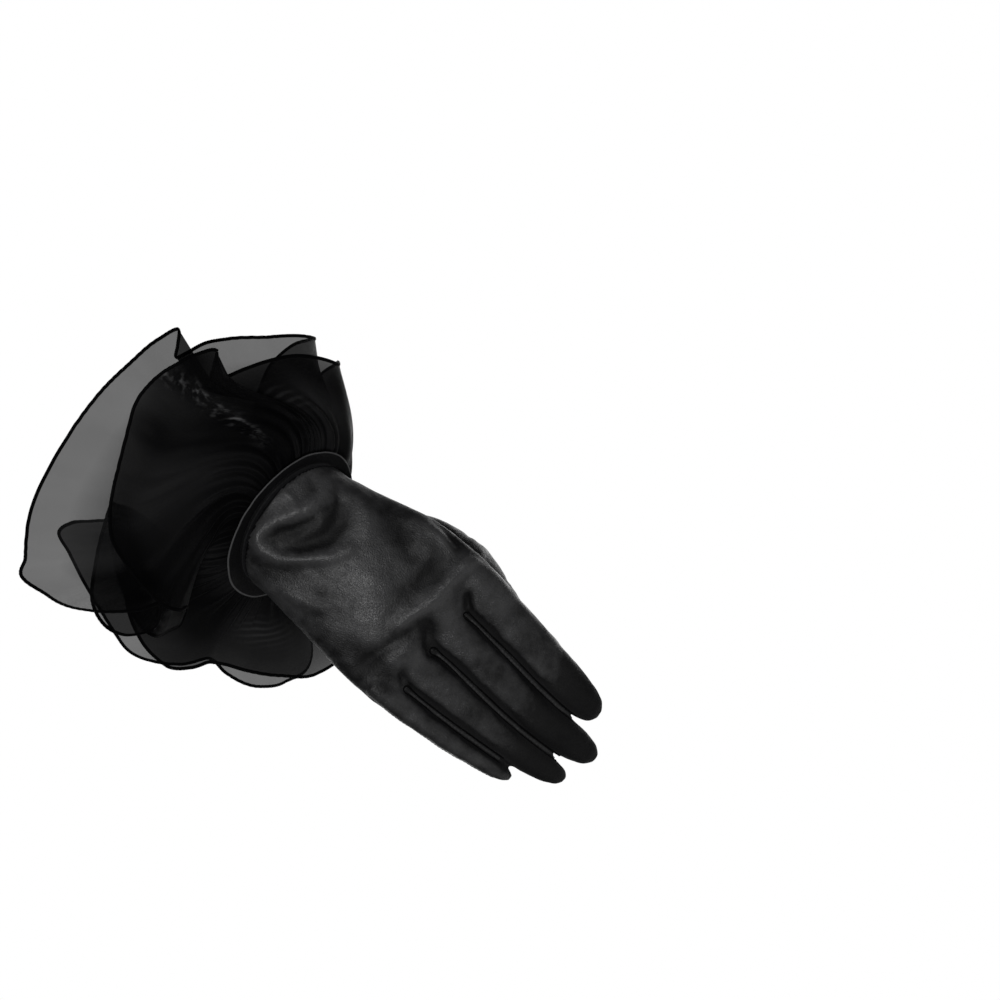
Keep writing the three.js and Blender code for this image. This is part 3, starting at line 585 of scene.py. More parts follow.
def joined_hand(name, grow, voxel, smoothing, with_thumb):
    points, faces = [], []
    parts = [palm_rings(grow)] + [finger_rings(n, grow) for n in FINGER_SECTIONS]
    parts += [thumb_rings(grow)] if with_thumb else []
    parts += [band_rings(*pair, grow) for pair in WEBS]
    for rings in parts:
        more, more_faces = closed_loft(rings)
        start = sum(len(p) for p in points)
        points.append(more)
        faces += [tuple(start + i for i in face) for face in more_faces]
    hand = add_mesh(name, np.concatenate(points), faces)
    remesh = hand.modifiers.new("join", "REMESH")
    remesh.mode, remesh.voxel_size = "VOXEL", voxel * MM
    smooth = hand.modifiers.new("even", "SMOOTH")
    smooth.factor, smooth.iterations = 0.5, smoothing
    apply_modifiers(hand)
    return hand


MOUTH_CUT = -0.15


def cut_at_mouth(obj):
    """Takes off everything past the wrist mouth, and leaves it open."""
    work = bmesh.new()
    work.from_mesh(obj.data)
    bmesh.ops.bisect_plane(
        work, geom=work.verts[:] + work.edges[:] + work.faces[:],
        plane_co=Vector(along_arm * MOUTH_CUT * MM), plane_no=Vector(along_arm), clear_outer=True,
    )
    work.to_mesh(obj.data)
    work.free()
    shade_smooth(obj.data)


# The satin's creases on the back of the hand, ridges above zero and hollows below, in
# millimetres across the hand and along it.
CREASES = {
    # half width, height, then the places that the crease runs through
    "heel_low_ridge": (3.2, 2.2, (
        (-12.8, 8.6), (-15.4, 3.5), (-14.3, -4.5), (-8.3, -12.7), (-1.7, -20.6), (5.2, -25.7),
    )),
    "heel_high_ridge": (3.6, 2.1, (
        (-11.4, 8.3), (-1.3, 4.9), (7.2, -1.5), (13.5, -3.3), (18.5, -4.1), (23.5, -2.3),
    )),
    "heel_eye": (3.4, -2.3, ((-9.6, 3.3), (-1.8, -3.0), (5.3, -6.7))),
    "heel_valley": (4.4, -3.1, (
        (18.6, -12.1), (11.9, -15.8), (4.2, -15.7), (-4.4, -9.9), (-10.7, -3.8),
    )),
    "below_heel_ridge": (4.5, -1.2, ((-21.6, -1.0), (-17.8, -9.6), (-10.6, -19.5))),
    "wrist_edge_fold": (2.6, 1.2, ((-26.2, -6.9), (-23.7, -18.9), (-20.6, -31.8))),
    "thumb_side_ridge": (4.5, 1.2, ((26.6, -15.2), (19.9, -25.1), (12.4, -28.6))),
    "thumb_side_hollow": (6.0, -1.7, ((26.9, -31.3), (24.1, -39.6), (19.1, -48.3))),
    "middle_swell": (9.0, 1.6, ((-1.2, -29.1), (0.1, -39.5), (-9.8, -46.7))),
    "knuckle_ridge": (2.8, 2.0, (
        (-6.2, -60.4), (4.2, -64.2), (13.7, -66.1), (21.5, -66.8), (29.4, -68.6), (34.3, -70.1),
    )),
    "index_hollow": (4.5, -1.8, ((24.1, -58.6), (17.0, -59.3), (7.6, -56.7))),
    "index_knuckle": (5.5, 1.0, ((27.2, -73.3), (23.5, -85.5))),
    "middle_knuckle": (6.0, 1.0, ((7.6, -70.6), (2.8, -77.9))),
    "ring_knuckle": (6.0, 1.1, ((-13.6, -65.8), (-16.4, -74.1))),
    "little_knuckle": (4.5, 0.9, ((-35.4, -65.3), (-36.8, -73.8))),
    "web_hollow_one": (1.8, -2.7, ((18.5, -76.0), (13.0, -80.4))),
    "web_hollow_two": (2.6, -3.8, ((-1.5, -71.5), (-9.0, -77.3))),
    "web_hollow_three": (2.0, -2.4, ((-23.0, -72.8), (-26.8, -77.6))),
    "little_side_hollow": (6.5, -2.0, ((-28.4, -48.8), (-28.0, -59.9), (-28.9, -65.6))),
    "under_knuckle_hollow": (3.2, -1.6, ((-34.0, -58.0), (-22.0, -60.5), (-9.0, -65.2), (0.7, -67.7))),
    "top_edge_crease": (1.4, -0.9, ((35.8, -43.8), (35.0, -51.9), (32.7, -61.8))),
    "top_edge_welt": (1.8, 0.8, ((32.0, -45.3), (31.5, -53.2), (29.4, -61.6))),
    "wrist_tuck_one": (2.0, 1.0, ((9.0, 12.4), (8.7, 5.9), (5.8, 1.2))),
    "wrist_tuck_two": (2.2, -0.9, ((20.1, 4.1), (16.1, -0.8))),
    "wrist_tuck_three": (2.4, 0.8, ((25.7, -7.0), (21.1, -12.9))),
}
# And on the palm.
PALM_CREASES = {
    "wrist_fold": (2.6, -0.8, ((-28, -8), (0, -6), (28, -7))),
    "heel_fold": (3.2, -0.9, ((-30, -24), (-4, -31), (24, -35))),
    "bend_fold": (3.0, -0.9, ((-32, -60), (2, -58), (30, -51))),
    "wrist_tuck_left": (3.0, 1.2, ((-21, 2), (-15, -24))),
    "wrist_tuck_middle": (3.0, -1.1, ((-5, 2), (-6, -20))),
    "wrist_tuck_right": (2.8, 1.2, ((12, 2), (8, -21))),
}
# The level where the hand's creases end and the fingers' own begin.
FINGERS_FROM = -84
# Where the satin wrinkles across a finger: the level of each crease.
FINGER_CREASES = {
    "index": (-92, -97, -118, -122), "middle": (-97, -102, -125, -129),
    "ring": (-94, -99, -121, -125), "little": (-91, -95, -109, -113),
}


def crease_heights(points, creases):
    """How far the satin stands out at each point, from all creases of one side."""
    total = np.zeros(len(points))
    for half_width, height, places in creases.values():
        places = np.array(places, float)
        lengths = np.linalg.norm(np.diff(places, axis=0), axis=1)
        nearest, spot, run = np.full(len(points), 1e9), np.zeros(len(points)), 0.0
        for start, end, length in zip(places, places[1:], lengths):
            way = (end - start) / length
            offset = points[:, [0, 2]] - start
            along = np.clip(offset @ way, 0, length)
            away = np.linalg.norm(offset - along[:, None] * way, axis=1)
            closer = away < nearest
            nearest = np.where(closer, away, nearest)
            spot = np.where(closer, (run + along) / lengths.sum(), spot)
            run += length
        taper = 0.25 + 0.75 * np.sqrt(np.sin(np.pi * np.clip(0.06 + 0.88 * spot, 0, 1)))
        total += height * taper * np.exp(-((nearest / half_width) ** 2))
    return total


def finger_wrinkles(points):
    """Each crease across a finger is a hollow with a low ridge above it."""
    total = np.zeros(len(points))
    for name, creases in FINGER_CREASES.items():
        middle, half_width = across_finger(name, points[:, 2])
        beside = (points[:, 0] - middle) / half_width
        inside = smooth_step(1.25, 0.95, abs(beside))
        inside = inside * smooth_step(FINGERS_FROM, FINGERS_FROM - 6, points[:, 2])
        for i, level in enumerate(creases):
            tilt = (2.2 if i % 2 else -1.6) * beside
            wave = 0.5 * np.sin(points[:, 0] * 0.9 + i)
            total -= 0.13 * inside * bump(points[:, 2], level + tilt + wave, 2.4)
            total += 0.08 * inside * bump(points[:, 2], level + 4.2 + tilt + wave, 2.6)
    return total


# The band below the mouth where the layers are sewn, in millimetres, the thumb's seam as a
# share of its half width, and the level and the depth of the thumb's creases.
SEAM_BAND = 2.0
SEAM_SINK = 0.7
THUMB_SEAM = 1.14
THUMB_CREASES = ((-58, 0.45), (-63, 0.3), (-84, 0.4), (-88, 0.25))
# The crease height that paints a full step of highlight or shade on the satin, and the most painted shade
# and painted highlight.
PAINTED_LIGHT_HEIGHT = 2.2
DEEPEST_PAINTED_SHADE, BRIGHTEST_PAINTED_HIGHLIGHT = -1.9, 0.7


def paint_seam_band_shade(obj, look):
    """Gives the strip next to the wrist mouth, where the layers are sewn, the satin's darker copy: painted
    shade in the seam's groove.
    """
    obj.data.materials.append(look)
    middles = face_middles(obj.data)
    ragged = SEAM_BAND + 0.35 * soft_noise(middles, 4, 17)
    obj.data.polygons.foreach_set("material_index", (-(middles @ along_arm) < ragged).astype(int))


def shape_satin(mesh, outward):
    """Moves the hand's skin to its creases, and paints highlight on their ridges and shade in their
    hollows; outward is -1 where the normals face in.
    """
    points, normals = mesh_arrays(mesh)
    x, _, z = points.T
    facing = outward * normals
    back, front = smooth_step(0.05, 0.75, -facing[:, 1]), smooth_step(0.05, 0.75, facing[:, 1])
    near_hand = smooth_step(FINGERS_FROM - 12, FINGERS_FROM, z)
    height = near_hand * (
        back * crease_heights(points, CREASES) + front * crease_heights(points, PALM_CREASES))
    # the value named stretch is painted light: highlight on crease ridges, and shade in their hollows and
    # in the folds beside the finger seams
    stretch = np.clip(height / PAINTED_LIGHT_HEIGHT, DEEPEST_PAINTED_SHADE, BRIGHTEST_PAINTED_HIGHLIGHT) - seam_shade(points)
    # painted shade on the tips, but not on the little finger's
    stretch -= 2.0 * smooth_step(-110, -146, z) * smooth_step(-34, -22, x)
    set_value(mesh, "stretch", stretch)
    height += finger_wrinkles(points)
    on_thumb = smooth_step(1.12, 1.02, thumb_distance(points))
    for level, drop in THUMB_CREASES:
        height -= drop * on_thumb * bump(z + 0.35 * (x - 27), level, 1.8)
    uneven = soft_noise(points * np.array([1, 1, 0.5]), 19, 3) * 0.26 + soft_noise(points, 7, 5) * 0.06
    near_wrist = smooth_step(-45, -5, z)
    pulled = soft_noise(points * np.array([1, 1, 0.16]), 8, 8) * 0.16 * near_wrist
    height += uneven + pulled
    # the rim keeps its oval, so that the lip and the lining meet it
    below_mouth = -(points @ along_arm)
    height *= smooth_step(0.3, 4.5, below_mouth)
    height -= SEAM_SINK * smooth_step(SEAM_BAND + 0.5, SEAM_BAND - 0.5, below_mouth)
    set_points(mesh, points + facing * height[:, None])


def finger_gap(high, low, levels):
    """The middle line between two neighbouring fingers, across the hand."""
    (high_middle, high_half), (low_middle, low_half) = (across_finger(name, levels) for name in (high, low))
    return (high_middle - high_half + (low_middle + low_half)) / 2


def seam_shade(points):
    """Painted shade in the folds on both sides of each seam between the fingers."""
    total = np.zeros(len(points))
    for high, low, web in WEBS:
        away = points[:, 0] - finger_gap(high, low, points[:, 2])
        below = smooth_step(web + 1.0, web - 3.0, points[:, 2])
        total += below * (0.9 * bump(away, -1.6, 0.9) + 2.2 * bump(away, 1.9, 1.6))
    return total


def cut_grooves(mesh):
    """Draws the skin in between the fingers, so that each is a round form of its own."""
    points, _ = mesh_arrays(mesh)
    depth = bend_depth(points[:, 2])
    toward = np.sign(depth - points[:, 1])
    for high, low, web in WEBS:
        away = points[:, 0] - finger_gap(high, low, points[:, 2])
        below = smooth_step(web + 1.0, web - 5.0, points[:, 2])
        drawn = below * (bump(away, 0, 3.2) * 1.5 + bump(away, 0, 1.5) * 1.1)
        points[:, 1] += toward * np.minimum(drawn, 0.5 * abs(depth - points[:, 1]))
    set_points(mesh, points)


def with_strays(mesh, is_thumb):
    """Adds to the thumb's faces the ones that its seam cuts loose from the hand."""
    joined = list(range(len(mesh.vertices)))

    def first_of(vertex):
        while joined[vertex] != vertex:
            joined[vertex] = joined[joined[vertex]]
            vertex = joined[vertex]
        return vertex

    for face, on_thumb in zip(mesh.polygons, is_thumb):
        if not on_thumb:
            first = first_of(face.vertices[0])
            for vertex in face.vertices[1:]:
                joined[first_of(vertex)] = first
    island = np.array([first_of(face.vertices[0]) for face in mesh.polygons])
    islands, sizes = np.unique(island[~is_thumb], return_counts=True)
    return is_thumb | (island != islands[sizes.argmax()])


def split_off_thumb(obj, name):
    """Makes the thumb's part of the skin a piece of its own, up to its seam in the palm."""
    is_thumb = with_strays(obj.data, thumb_distance(face_middles(obj.data)) < THUMB_SEAM)
    thumb = obj.copy()
    thumb.name, thumb.data = name, obj.data.copy()
    bpy.context.collection.objects.link(thumb)
    for piece, kept in ((obj, ~is_thumb), (thumb, is_thumb)):
        work = bmesh.new()
        work.from_mesh(piece.data)
        work.faces.ensure_lookup_table()
        dropped = [face for face, keep in zip(work.faces, kept) if not keep]
        bmesh.ops.delete(work, geom=dropped, context="FACES")
        work.to_mesh(piece.data)
        work.free()
    return thumb


# The size of the cells in millimetres and the rounds of smoothing.
HAND_CELL, HAND_ROUNDS = ((0.72, 5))
LINING_CELL = 1.4
LINING_GAP = 0.3
hand = joined_hand("satin_hand", 0, HAND_CELL, HAND_ROUNDS, True)
cut_grooves(hand.data)
cut_at_mouth(hand)
shape_satin(hand.data, 1)
thumb_skin = split_off_thumb(hand, "satin_thumb")
fourchettes = [f"fourchette_{high}_{low}" for high, low, _ in WEBS]
dress(hand, satin, "satin", "trank", *fourchettes)
dress(thumb_skin, satin, "satin", "thumb")
paint_seam_band_shade(hand, shaded_satin)

inner = joined_hand("hand_lining", -SATIN_WALL - LINING_GAP, LINING_CELL, 3, False)
cut_grooves(inner.data)
inner.data.flip_normals()
cut_at_mouth(inner)
shape_satin(inner.data, -1)
dress(inner, lining, "satin")


# The rim of the mouth and the turned lip.
def rim_direction(turn):
    return np.cos(turn)[..., None] * across_mouth + np.sin(turn)[..., None] * front_of_mouth


def rim_radius(turn):
    return MOUTH_HALF_WIDTH * MOUTH_HALF_DEPTH / np.hypot(
        MOUTH_HALF_DEPTH * np.cos(turn), MOUTH_HALF_WIDTH * np.sin(turn))


def rim_point(turn):
    return rim_radius(turn)[..., None] * rim_direction(turn)


# The waves of the loose lip: how many go round, and their height in millimetres.
RIPPLES = (5, 7, 11, 13, 19, 23)
LIP_WAVE = 0.42
LIP_SEED = 4
# How thick the lip's rolled edge is, and how far the facing lies inside the rim.
ROLL_RADIUS = 0.26
FACING_INSIDE = SATIN_WALL + 0.15
FACING_TOP = LONG_RISE + 1.2
FACING_PROFILE = ((-FACING_INSIDE, -1.5), (-FACING_INSIDE, FACING_TOP), (0.3, FACING_TOP), (0.3, -0.2))


def rim_ring(name, profile, look, slot_name, *nodes, count=480, wave=0.0, seed=1):
    """A closed ring round the mouth from a profile of outward and upward places."""
    turn = 2 * np.pi * np.arange(count) / count
    rings, uv = [], []
    rng = np.random.default_rng(seed)
    ripple = sum(np.sin(k * turn + rng.uniform(0, NOISE_TURN)) / k**0.5 for k in RIPPLES) / 3
    wider = np.ones(count)
    if wave:
        # the lip is wider toward the little finger and narrower on the palm's side
        wider += 0.4 * bump(turn, 0.86 * math.pi, 0.8) - 0.4 * bump(turn, 1.5 * math.pi, 0.7)
    for i, (outward, rise) in enumerate(profile):
        loose = wave * np.clip(outward / LIP_REACH, 0, 1.6) ** 1.5
        reach = outward * wider + 0.5 * loose * np.roll(ripple, 31)
        ring = rim_point(turn) + reach[:, None] * rim_direction(turn)
        rings.append(ring + (rise + loose * ripple)[:, None] * along_arm)
        uv.append(np.stack([turn * MOUTH_HALF_WIDTH * MM, np.full(count, i * 0.6 * MM)], axis=1))
    faces = grid_faces(len(profile), count, wrap_rows=True)
    obj = add_mesh(name, np.concatenate(rings), faces, np.concatenate(uv))
    return dress(obj, look, slot_name, *nodes)


def fold_profile():
    """The turned lip in section: a thin strip folded over, with a slim rolled edge."""
    under = [(-SATIN_WALL, 0.25), (0.1, 0.2), (1.1, 0.05), (2.3, -0.25), (3.4, -0.5), (4.3, -0.62)]
    fold = [(4.45 + ROLL_RADIUS * math.sin(a), -0.4 - ROLL_RADIUS * math.cos(a))
            for a in np.linspace(0.4, 2.8, 6)]
    over = [(4.2, -0.12), (3.2, 0.1), (2.2, 0.42), (1.2, 0.8), (0.4, 1.1), (-0.4, 1.3), (-SATIN_WALL, 1.4)]
    return under + fold + over


def edge_profile(outward, rise, radius, sides=8):
    angles = np.linspace(0, 2 * math.pi, sides, endpoint=False)
    return [(outward + radius * math.cos(a), rise + radius * math.sin(a)) for a in angles]


# Painted shade on the lip and the rim's seam, in the satin's darker copy.
rim_ring("wrist_lip", fold_profile(), shaded_satin, "turned_lip", "wrist_frill", wave=LIP_WAVE, seed=LIP_SEED)
# painted highlight along the lip's rolled edge
rim_ring("lip_stitched_edge", edge_profile(4.85, -0.42, 0.33), lit_edge_thread, "overlock", "frill_edge",
         wave=LIP_WAVE, seed=LIP_SEED)
rim_ring("rim_facing", FACING_PROFILE, lining, "satin", count=240)
rim_ring("rim_seam", edge_profile(-0.05, -0.25, 0.42), shaded_satin, "satin")


# The cuff's tiers.
def round_curve(knots, values, whole_turn):
    """A smooth curve once round through the rows' values, without overshoot."""
    knot = np.concatenate([knots - 1, knots, knots + 1])
    value = np.concatenate([values - whole_turn, values, values + whole_turn])

    def at(place):
        turns = np.floor(place)
        return whole_turn * turns + curve_at(knot, value, place - turns, 1, len(knot) - 3)

    return at


COLUMNS = 980
TIERS = {
    "long": {
        "columns": (0, 1, 2), "width": LONG_WIDTH, "rise": LONG_RISE, "spread": 0,
        "rows": 72,
    },
    "short": {
        "columns": (3, 4, 5), "width": SHORT_WIDTH, "rise": SHORT_RISE, "spread": TIER_SPREAD,
        "rows": 60,
    },
}


def flare_point(base, turn, flare, distance):
    return base + distance[..., None] * (
        np.cos(flare)[..., None] * along_arm + np.sin(flare)[..., None] * rim_direction(turn))


def fold_knots():
    length = 0
    for tier in TIERS.values():
        turn, flare, reach = (FOLDS[:, c] for c in tier["columns"])
        turn, flare = np.radians(turn), np.radians(flare)
        hem = flare_point(rim_point(turn), turn, flare, reach * tier["width"])
        length = length + np.linalg.norm(np.roll(hem, -1, axis=0) - hem, axis=1)
    return np.concatenate([[0], np.cumsum(length)[:-1]]) / length.sum()


knots = fold_knots()
for tier in TIERS.values():
    tier["turn"], tier["flare"], tier["reach"] = (
        round_curve(knots, FOLDS[:, c], 360 if i == 0 else 0) for i, c in enumerate(tier["columns"]))


# How many steps to each side a place is evened over.
EVENING = 25


def evened(place, value_at):
    """The mean of a value round a place, with less weight on what is further off."""
    steps = np.arange(1 - EVENING, EVENING)
    shares = 0.5 + 0.5 * np.cos(np.pi * steps / EVENING)
    total = sum(s * value_at(place + GATHER_SPREAD * k / EVENING) for s, k in zip(shares, steps))
    return total / shares.sum()


def tiers_mean(key, place):
    """What the two tiers have in common of a turn or a flare."""
    return (TIERS["long"][key](place) + TIERS["short"][key](place)) / 2


def seam_turn(place):
    first = FOLDS[0, 0]
    drift = evened(place, lambda spot: tiers_mean("turn", spot) - first - 360 * spot)
    return first + 360 * place + GATHER_EVENNESS * drift


def seam_flare(place):
    return ROOT_FLARE + ROOT_FLARE_SHARE * evened(place, lambda spot: tiers_mean("flare", spot))


row_places = np.arange(COLUMNS) * len(FOLDS) / COLUMNS
round_places = np.interp(row_places, np.arange(len(FOLDS) + 1), np.append(knots, 1.0))
seam_turns, seam_flares = np.radians(seam_turn(round_places)), seam_flare(round_places)

# Folds finer than the table's. Pleats that fan out from the seam: how many go round, their
# height and how far they reach. Creases toward the hem: how many go round and their height.
FAN_PLEATS = ((19, 0.9, 36), (29, 0.7, 30), (43, 0.4, 22))
HEM_CREASES = ((11, 0.9), (17, 0.6), (29, 0.35))
# How long the cloth that takes up noise is, once round.
CLOTH_ROUND = 700
WRINKLE_HEIGHT = 0.32
SHADED_DROP = 0.7
# The rows lie closer together toward the hem.
ROW_CROWDING = 0.9


def cloth_noise(place, along, *kind, cloth_round=CLOTH_ROUND):
    """Noise over the flat cloth, from the place round it and the millimetres along it."""
    flat = np.stack([place * cloth_round, along, np.zeros_like(place)], axis=-1)
    return soft_noise(flat.reshape(-1, 3), *kind).reshape(place.shape)


def soft_folds(place, distance, share):
    """The height of the pleats and creases that are finer than the table's folds."""
    rng = np.random.default_rng(12)
    total = np.zeros_like(distance)
    for count, size, reach in FAN_PLEATS:
        phase = rng.uniform(0, NOISE_TURN)
        wander = 0.9 * np.sin(2 * np.pi * 5 * place + rng.uniform(0, NOISE_TURN))
        swell = np.sin(np.pi * np.sqrt(np.clip(distance / reach, 0, 1)))
        swell *= 0.75 + 0.5 * np.sin(2 * np.pi * round(0.37 * count) * place + phase)
        total += size * swell * np.sin(2 * np.pi * count * place + phase + wander)
    for count, size in HEM_CREASES:
        phase, lean = rng.uniform(0, NOISE_TURN), rng.uniform(-2, 2)
        rise = smooth_step(0.15, 0.75, share) * (1 - 0.35 * smooth_step(0.85, 1.0, share))
        total += size * rise * np.sin(2 * np.pi * count * place + phase + lean * share)
    return total


def crinkles(place, distance, share):
    """Small sharp wrinkles, strongest where a tier is pinched."""
    fine, patch = cloth_noise(place, 0.35 * distance, 11, 31), cloth_noise(place, distance, 60, 33, 1)
    return WRINKLE_HEIGHT * fine * smooth_step(-0.3, 0.7, patch) * smooth_step(0.3, 0.6, share)


# The line of a sharply crinkled crease on each tier: place round it and share of its width.
CRINKLED = {
    "short": (
        (0.276, 1.0), (0.270, 0.86), (0.266, 0.75), (0.268, 0.64), (0.277, 0.52), (0.292, 0.40),
        (0.307, 0.28),
    ),
    "long": ((0.60, 0.9), (0.605, 0.6), (0.61, 0.4)),
}
# Where the layers behind a tier lie deep in shade, painted as more layers of cloth and less painted light:
# place, share, half sizes in millimetres round and along, and how many layers more.
SHADED = {
    "short": (
        (0.309, 0.82, 5, 9, 1.6), (0.302, 0.51, 8, 8, 1.8), (0.316, 0.24, 3, 4, 2.0),
        (0.245, 0.31, 4, 5, 1.8), (0.243, 0.17, 2.5, 5, 1.2), (0.42, 0.80, 12, 11, 1.6),
        (0.44, 0.53, 10, 10, 1.4), (0.475, 0.56, 9, 9, 1.6), (0.262, 0.97, 9, 9, 1.8),
    ),
    "long": ((0.30, 0.4, 8, 9, 1.0),),
}
# Painted light where a broad fold of a tier faces the light, and how much lighter it is painted.
LIT = {
    "short": (
        (0.170, 0.60, 16, 14, 0.075), (0.720, 0.83, 12, 10, 0.03), (0.800, 0.62, 14, 12, 0.02),
        (0.36, 0.70, 9, 22, 0.014),
    ),
    "long": ((0.79, 0.80, 16, 12, 0.02),),
}
# Where two layers' threads make watered arcs: place, share and half sizes in millimetres.
WATERED = {
    "short": ((0.200, 0.66, 7, 8), (0.800, 0.58, 10, 8), (0.530, 0.90, 8, 7)),
    "long": ((0.77, 0.7, 10, 9),),
}
# How many layers of the flat cloth its gathers and pleats come to, from the seam (0) to
# the hem (1): the seam takes up about four times its own length.
GATHERED = {
    "long": ((0, 0.2, 0.45, 0.66, 0.82, 1), (3.4, 2.3, 1.6, 1.25, 1.0, 1.0)),
    "short": ((0, 0.2, 0.5, 0.8, 1), (3.6, 2.6, 2.1, 1.7, 1.35)),
}
# The strength of the painted glints along the crinkled crease, and of the watered arcs.
GLINT = 0.31
WATERED_SHINE = 0.09


def round_length(share):
    """Millimetres that the whole turn is long at a share of a tier's width."""
    return 160 + 500 * share


def soft_light_bands(place, share):
    """Painted light: broad lighter bands that fan out from the seam, where a fold faces the light."""
    return np.clip(0.005 + 0.027 * cloth_noise(place, 16 * share, 24, 61, 2, cloth_round=200), 0, 0.06)


def crinkled_line(name, place, share):
    line = np.array(CRINKLED[name])[::-1]
    away = (place - np.interp(share, line[:, 1], line[:, 0])) * round_length(share)
    within = smooth_step(line[0, 1] - 0.08, line[0, 1] + 0.04, share)
    return within * np.exp(-((away / (1.2 + 2.8 * share)) ** 2))


def patches(table, place, share, width):
    total = np.zeros(np.broadcast(place, share).shape)
    for spot, level, half_round, half_along, *more in table:
        round_away = (place - spot) * round_length(share) / half_round
        along_away = (share - level) * width / half_along
        total += (more[0] if more else 1.0) * np.exp(-(round_away**2) - along_away**2)
    return total


def tier_grid(name):
    """A tier's points in rows from the seam to the hem, and how far each is from the seam."""
    tier = TIERS[name]
    place = round_places[None, :]
    reach = tier["width"] * tier["reach"](place)
    share = np.linspace(0, 1, tier["rows"])[:, None] ** ROW_CROWDING
    distance = share * reach
    settled = np.sin(np.minimum(1, distance / SETTLE_REACH) * np.pi / 2)
    turned = settled**LATE_TURN
    at_hem = np.radians(tier["turn"](place))
    turn = seam_turns + (at_hem - seam_turns) * turned
    root = seam_flares + tier["spread"]
    flare = np.radians(root + (tier["flare"](place) - root) * settled)
    base = rim_point(seam_turns)[None] * (1 - turned[..., None]) + rim_point(at_hem) * turned[..., None]
    base = base + tier["rise"] * along_arm
    place, share = (np.broadcast_to(values, distance.shape) for values in (place, share))
    pleat = GATHER_HEIGHT * np.cos(2 * np.pi * row_places) * np.sin(
        np.pi * np.sqrt(np.minimum(1, distance / GATHER_REACH)))
    pleat = pleat + soft_folds(place, distance, share) + crinkles(place, distance, share)
    pleat = pleat + crinkled_line(name, place, share) * (1.0 + 0.55 * cloth_noise(place, distance, 5.5, 41))
    pleat = pleat - SHADED_DROP * patches(SHADED[name], place, share, tier["width"])
    points = flare_point(base, turn, flare, distance)
    points = points + (pleat * np.sin(flare))[..., None] * along_arm
    points = points - (pleat * np.cos(flare))[..., None] * rim_direction(turn)
    return points, distance, place, share


HEM_RADIUS = 0.62
HEM_SIDES = 9
THREAD_PITCH = 1.1


def hem_tube(name, points, look):
    """The overlocked roll on a tier's hem: thread wound round the cloth's edge."""
    edge, inside = points[-1], points[-3]
    run = unit(np.roll(edge, -1, axis=0) - np.roll(edge, 1, axis=0))
    outward = edge - inside
    outward = unit(outward - run * (outward * run).sum(axis=1)[:, None])
    through = np.cross(run, outward)
    length = run_lengths(edge)
    rings, uv = [], []
    for i in range(HEM_SIDES):
        angle = 2 * np.pi * i / HEM_SIDES
        wound = 1 + 0.08 * np.sin(length * 2 * np.pi / THREAD_PITCH + angle)
        flat = 1.25 * np.cos(angle) * outward + 0.72 * np.sin(angle) * through
        rings.append(edge + outward * HEM_RADIUS * 0.4 + flat * (HEM_RADIUS * wound)[:, None])
        uv.append(np.stack([length * MM, np.full(len(edge), i * 0.5 * MM)], axis=1))
    faces = grid_faces(HEM_SIDES, len(edge), wrap_rows=True)
    return dress(add_mesh(name, np.concatenate(rings), faces, np.concatenate(uv)), look, "overlock")


def run_lengths(points):
    """How far along its line each point lies."""
    return np.concatenate([[0], np.cumsum(np.linalg.norm(np.diff(points, axis=0), axis=1))])


# Metres of cloth round a tier that its pattern of threads is drawn for.
UV_ROUND = 0.75


def make_tier(name):
    """One tier with its hem, and the values that its look reads."""
    tier = TIERS[name]
    points, distance, place, share = tier_grid(name)
    around = np.linspace(0, 1, COLUMNS, endpoint=False) * UV_ROUND
    uv = np.stack([np.broadcast_to(around, distance.shape), distance * MM], axis=-1).reshape(-1, 2)
    sheet = add_mesh(f"organza_tier_{name}", points.reshape(-1, 3), grid_faces(len(points), COLUMNS), uv)

    shaded, lit, watered = (
        patches(table[name], place, share, tier["width"]) for table in (SHADED, LIT, WATERED))
    speckled = GLINT + GLINT * cloth_noise(place, distance, 6, 51)
    # layers of cloth, and more where painted shade lies deep
    set_value(sheet.data, "cloth_layers_and_painted_shade", np.interp(share, *GATHERED[name]) + shaded)
    # painted glints along the crinkled crease
    set_value(sheet.data, "glint", crinkled_line(name, place, share) * speckled)
    set_value(sheet.data, "watered", WATERED_SHINE * watered)
    # painted light on broad folds, less where painted shade lies
    set_value(sheet.data, "painted_fold_light", (soft_light_bands(place, share) + lit) / (1 + 2 * shaded))
    dress(sheet, organza, "organza", f"ruffle_{name}")
    hem = hem_tube(f"overlocked_hem_{name}", points, overlock)
    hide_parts(f"ruffle_{name}_edge")


for name in ("long", "short"):
    make_tier(name)


# Seams of the satin: a fine raised line with stitches, laid on the skin.
def skin_tree(*objects):
    points, faces, start = [], [], 0
    for obj in objects:
        more, _ = mesh_arrays(obj.data)
        points.append(more)
        faces += [[start + v for v in p.vertices] for p in obj.data.polygons]
        start += len(more)
    return BVHTree.FromPolygons(np.concatenate(points).tolist(), faces)


# Further away than any skin, where the lines that are dropped on it start.
OUTSIDE = 90


def on_skin(tree, points, side=None):
    """Points laid on the nearest skin, or dropped on the back (side -1) or the palm (1)."""
    laid, facing = [], []
    for x, y, z in points:
        spot = None
        if side:
            spot, normal, _, _ = tree.ray_cast(Vector((x, side * OUTSIDE, z)), Vector((0, -side, 0)))
            y = bend_depth(np.array([z]))[0]
        if spot is None:
            spot, normal, _, _ = tree.find_nearest(Vector((x, y, z)))
        laid.append(np.array(spot))
        facing.append(np.array(normal))
    return np.array(laid), np.array(facing)


def resample(points, step):
    points = np.asarray(points, float)
    length = run_lengths(points)
    spots = np.linspace(0, length[-1], max(3, int(length[-1] / step)))
    return np.stack([np.interp(spots, length, points[:, c]) for c in range(3)], axis=1)


def smooth_path(points, rounds, closed=False):
    points = np.array(points, float)
    for _ in range(rounds):
        before, after = np.roll(points, 1, axis=0), np.roll(points, -1, axis=0)
        even = (before + 2 * points + after) / 4
        if not closed:
            even[0], even[-1] = points[0], points[-1]
        points = even
    return points


STITCH_PITCH = 1.9
WELT_SIDES = 7
HIGHEST_WELT = 0.65


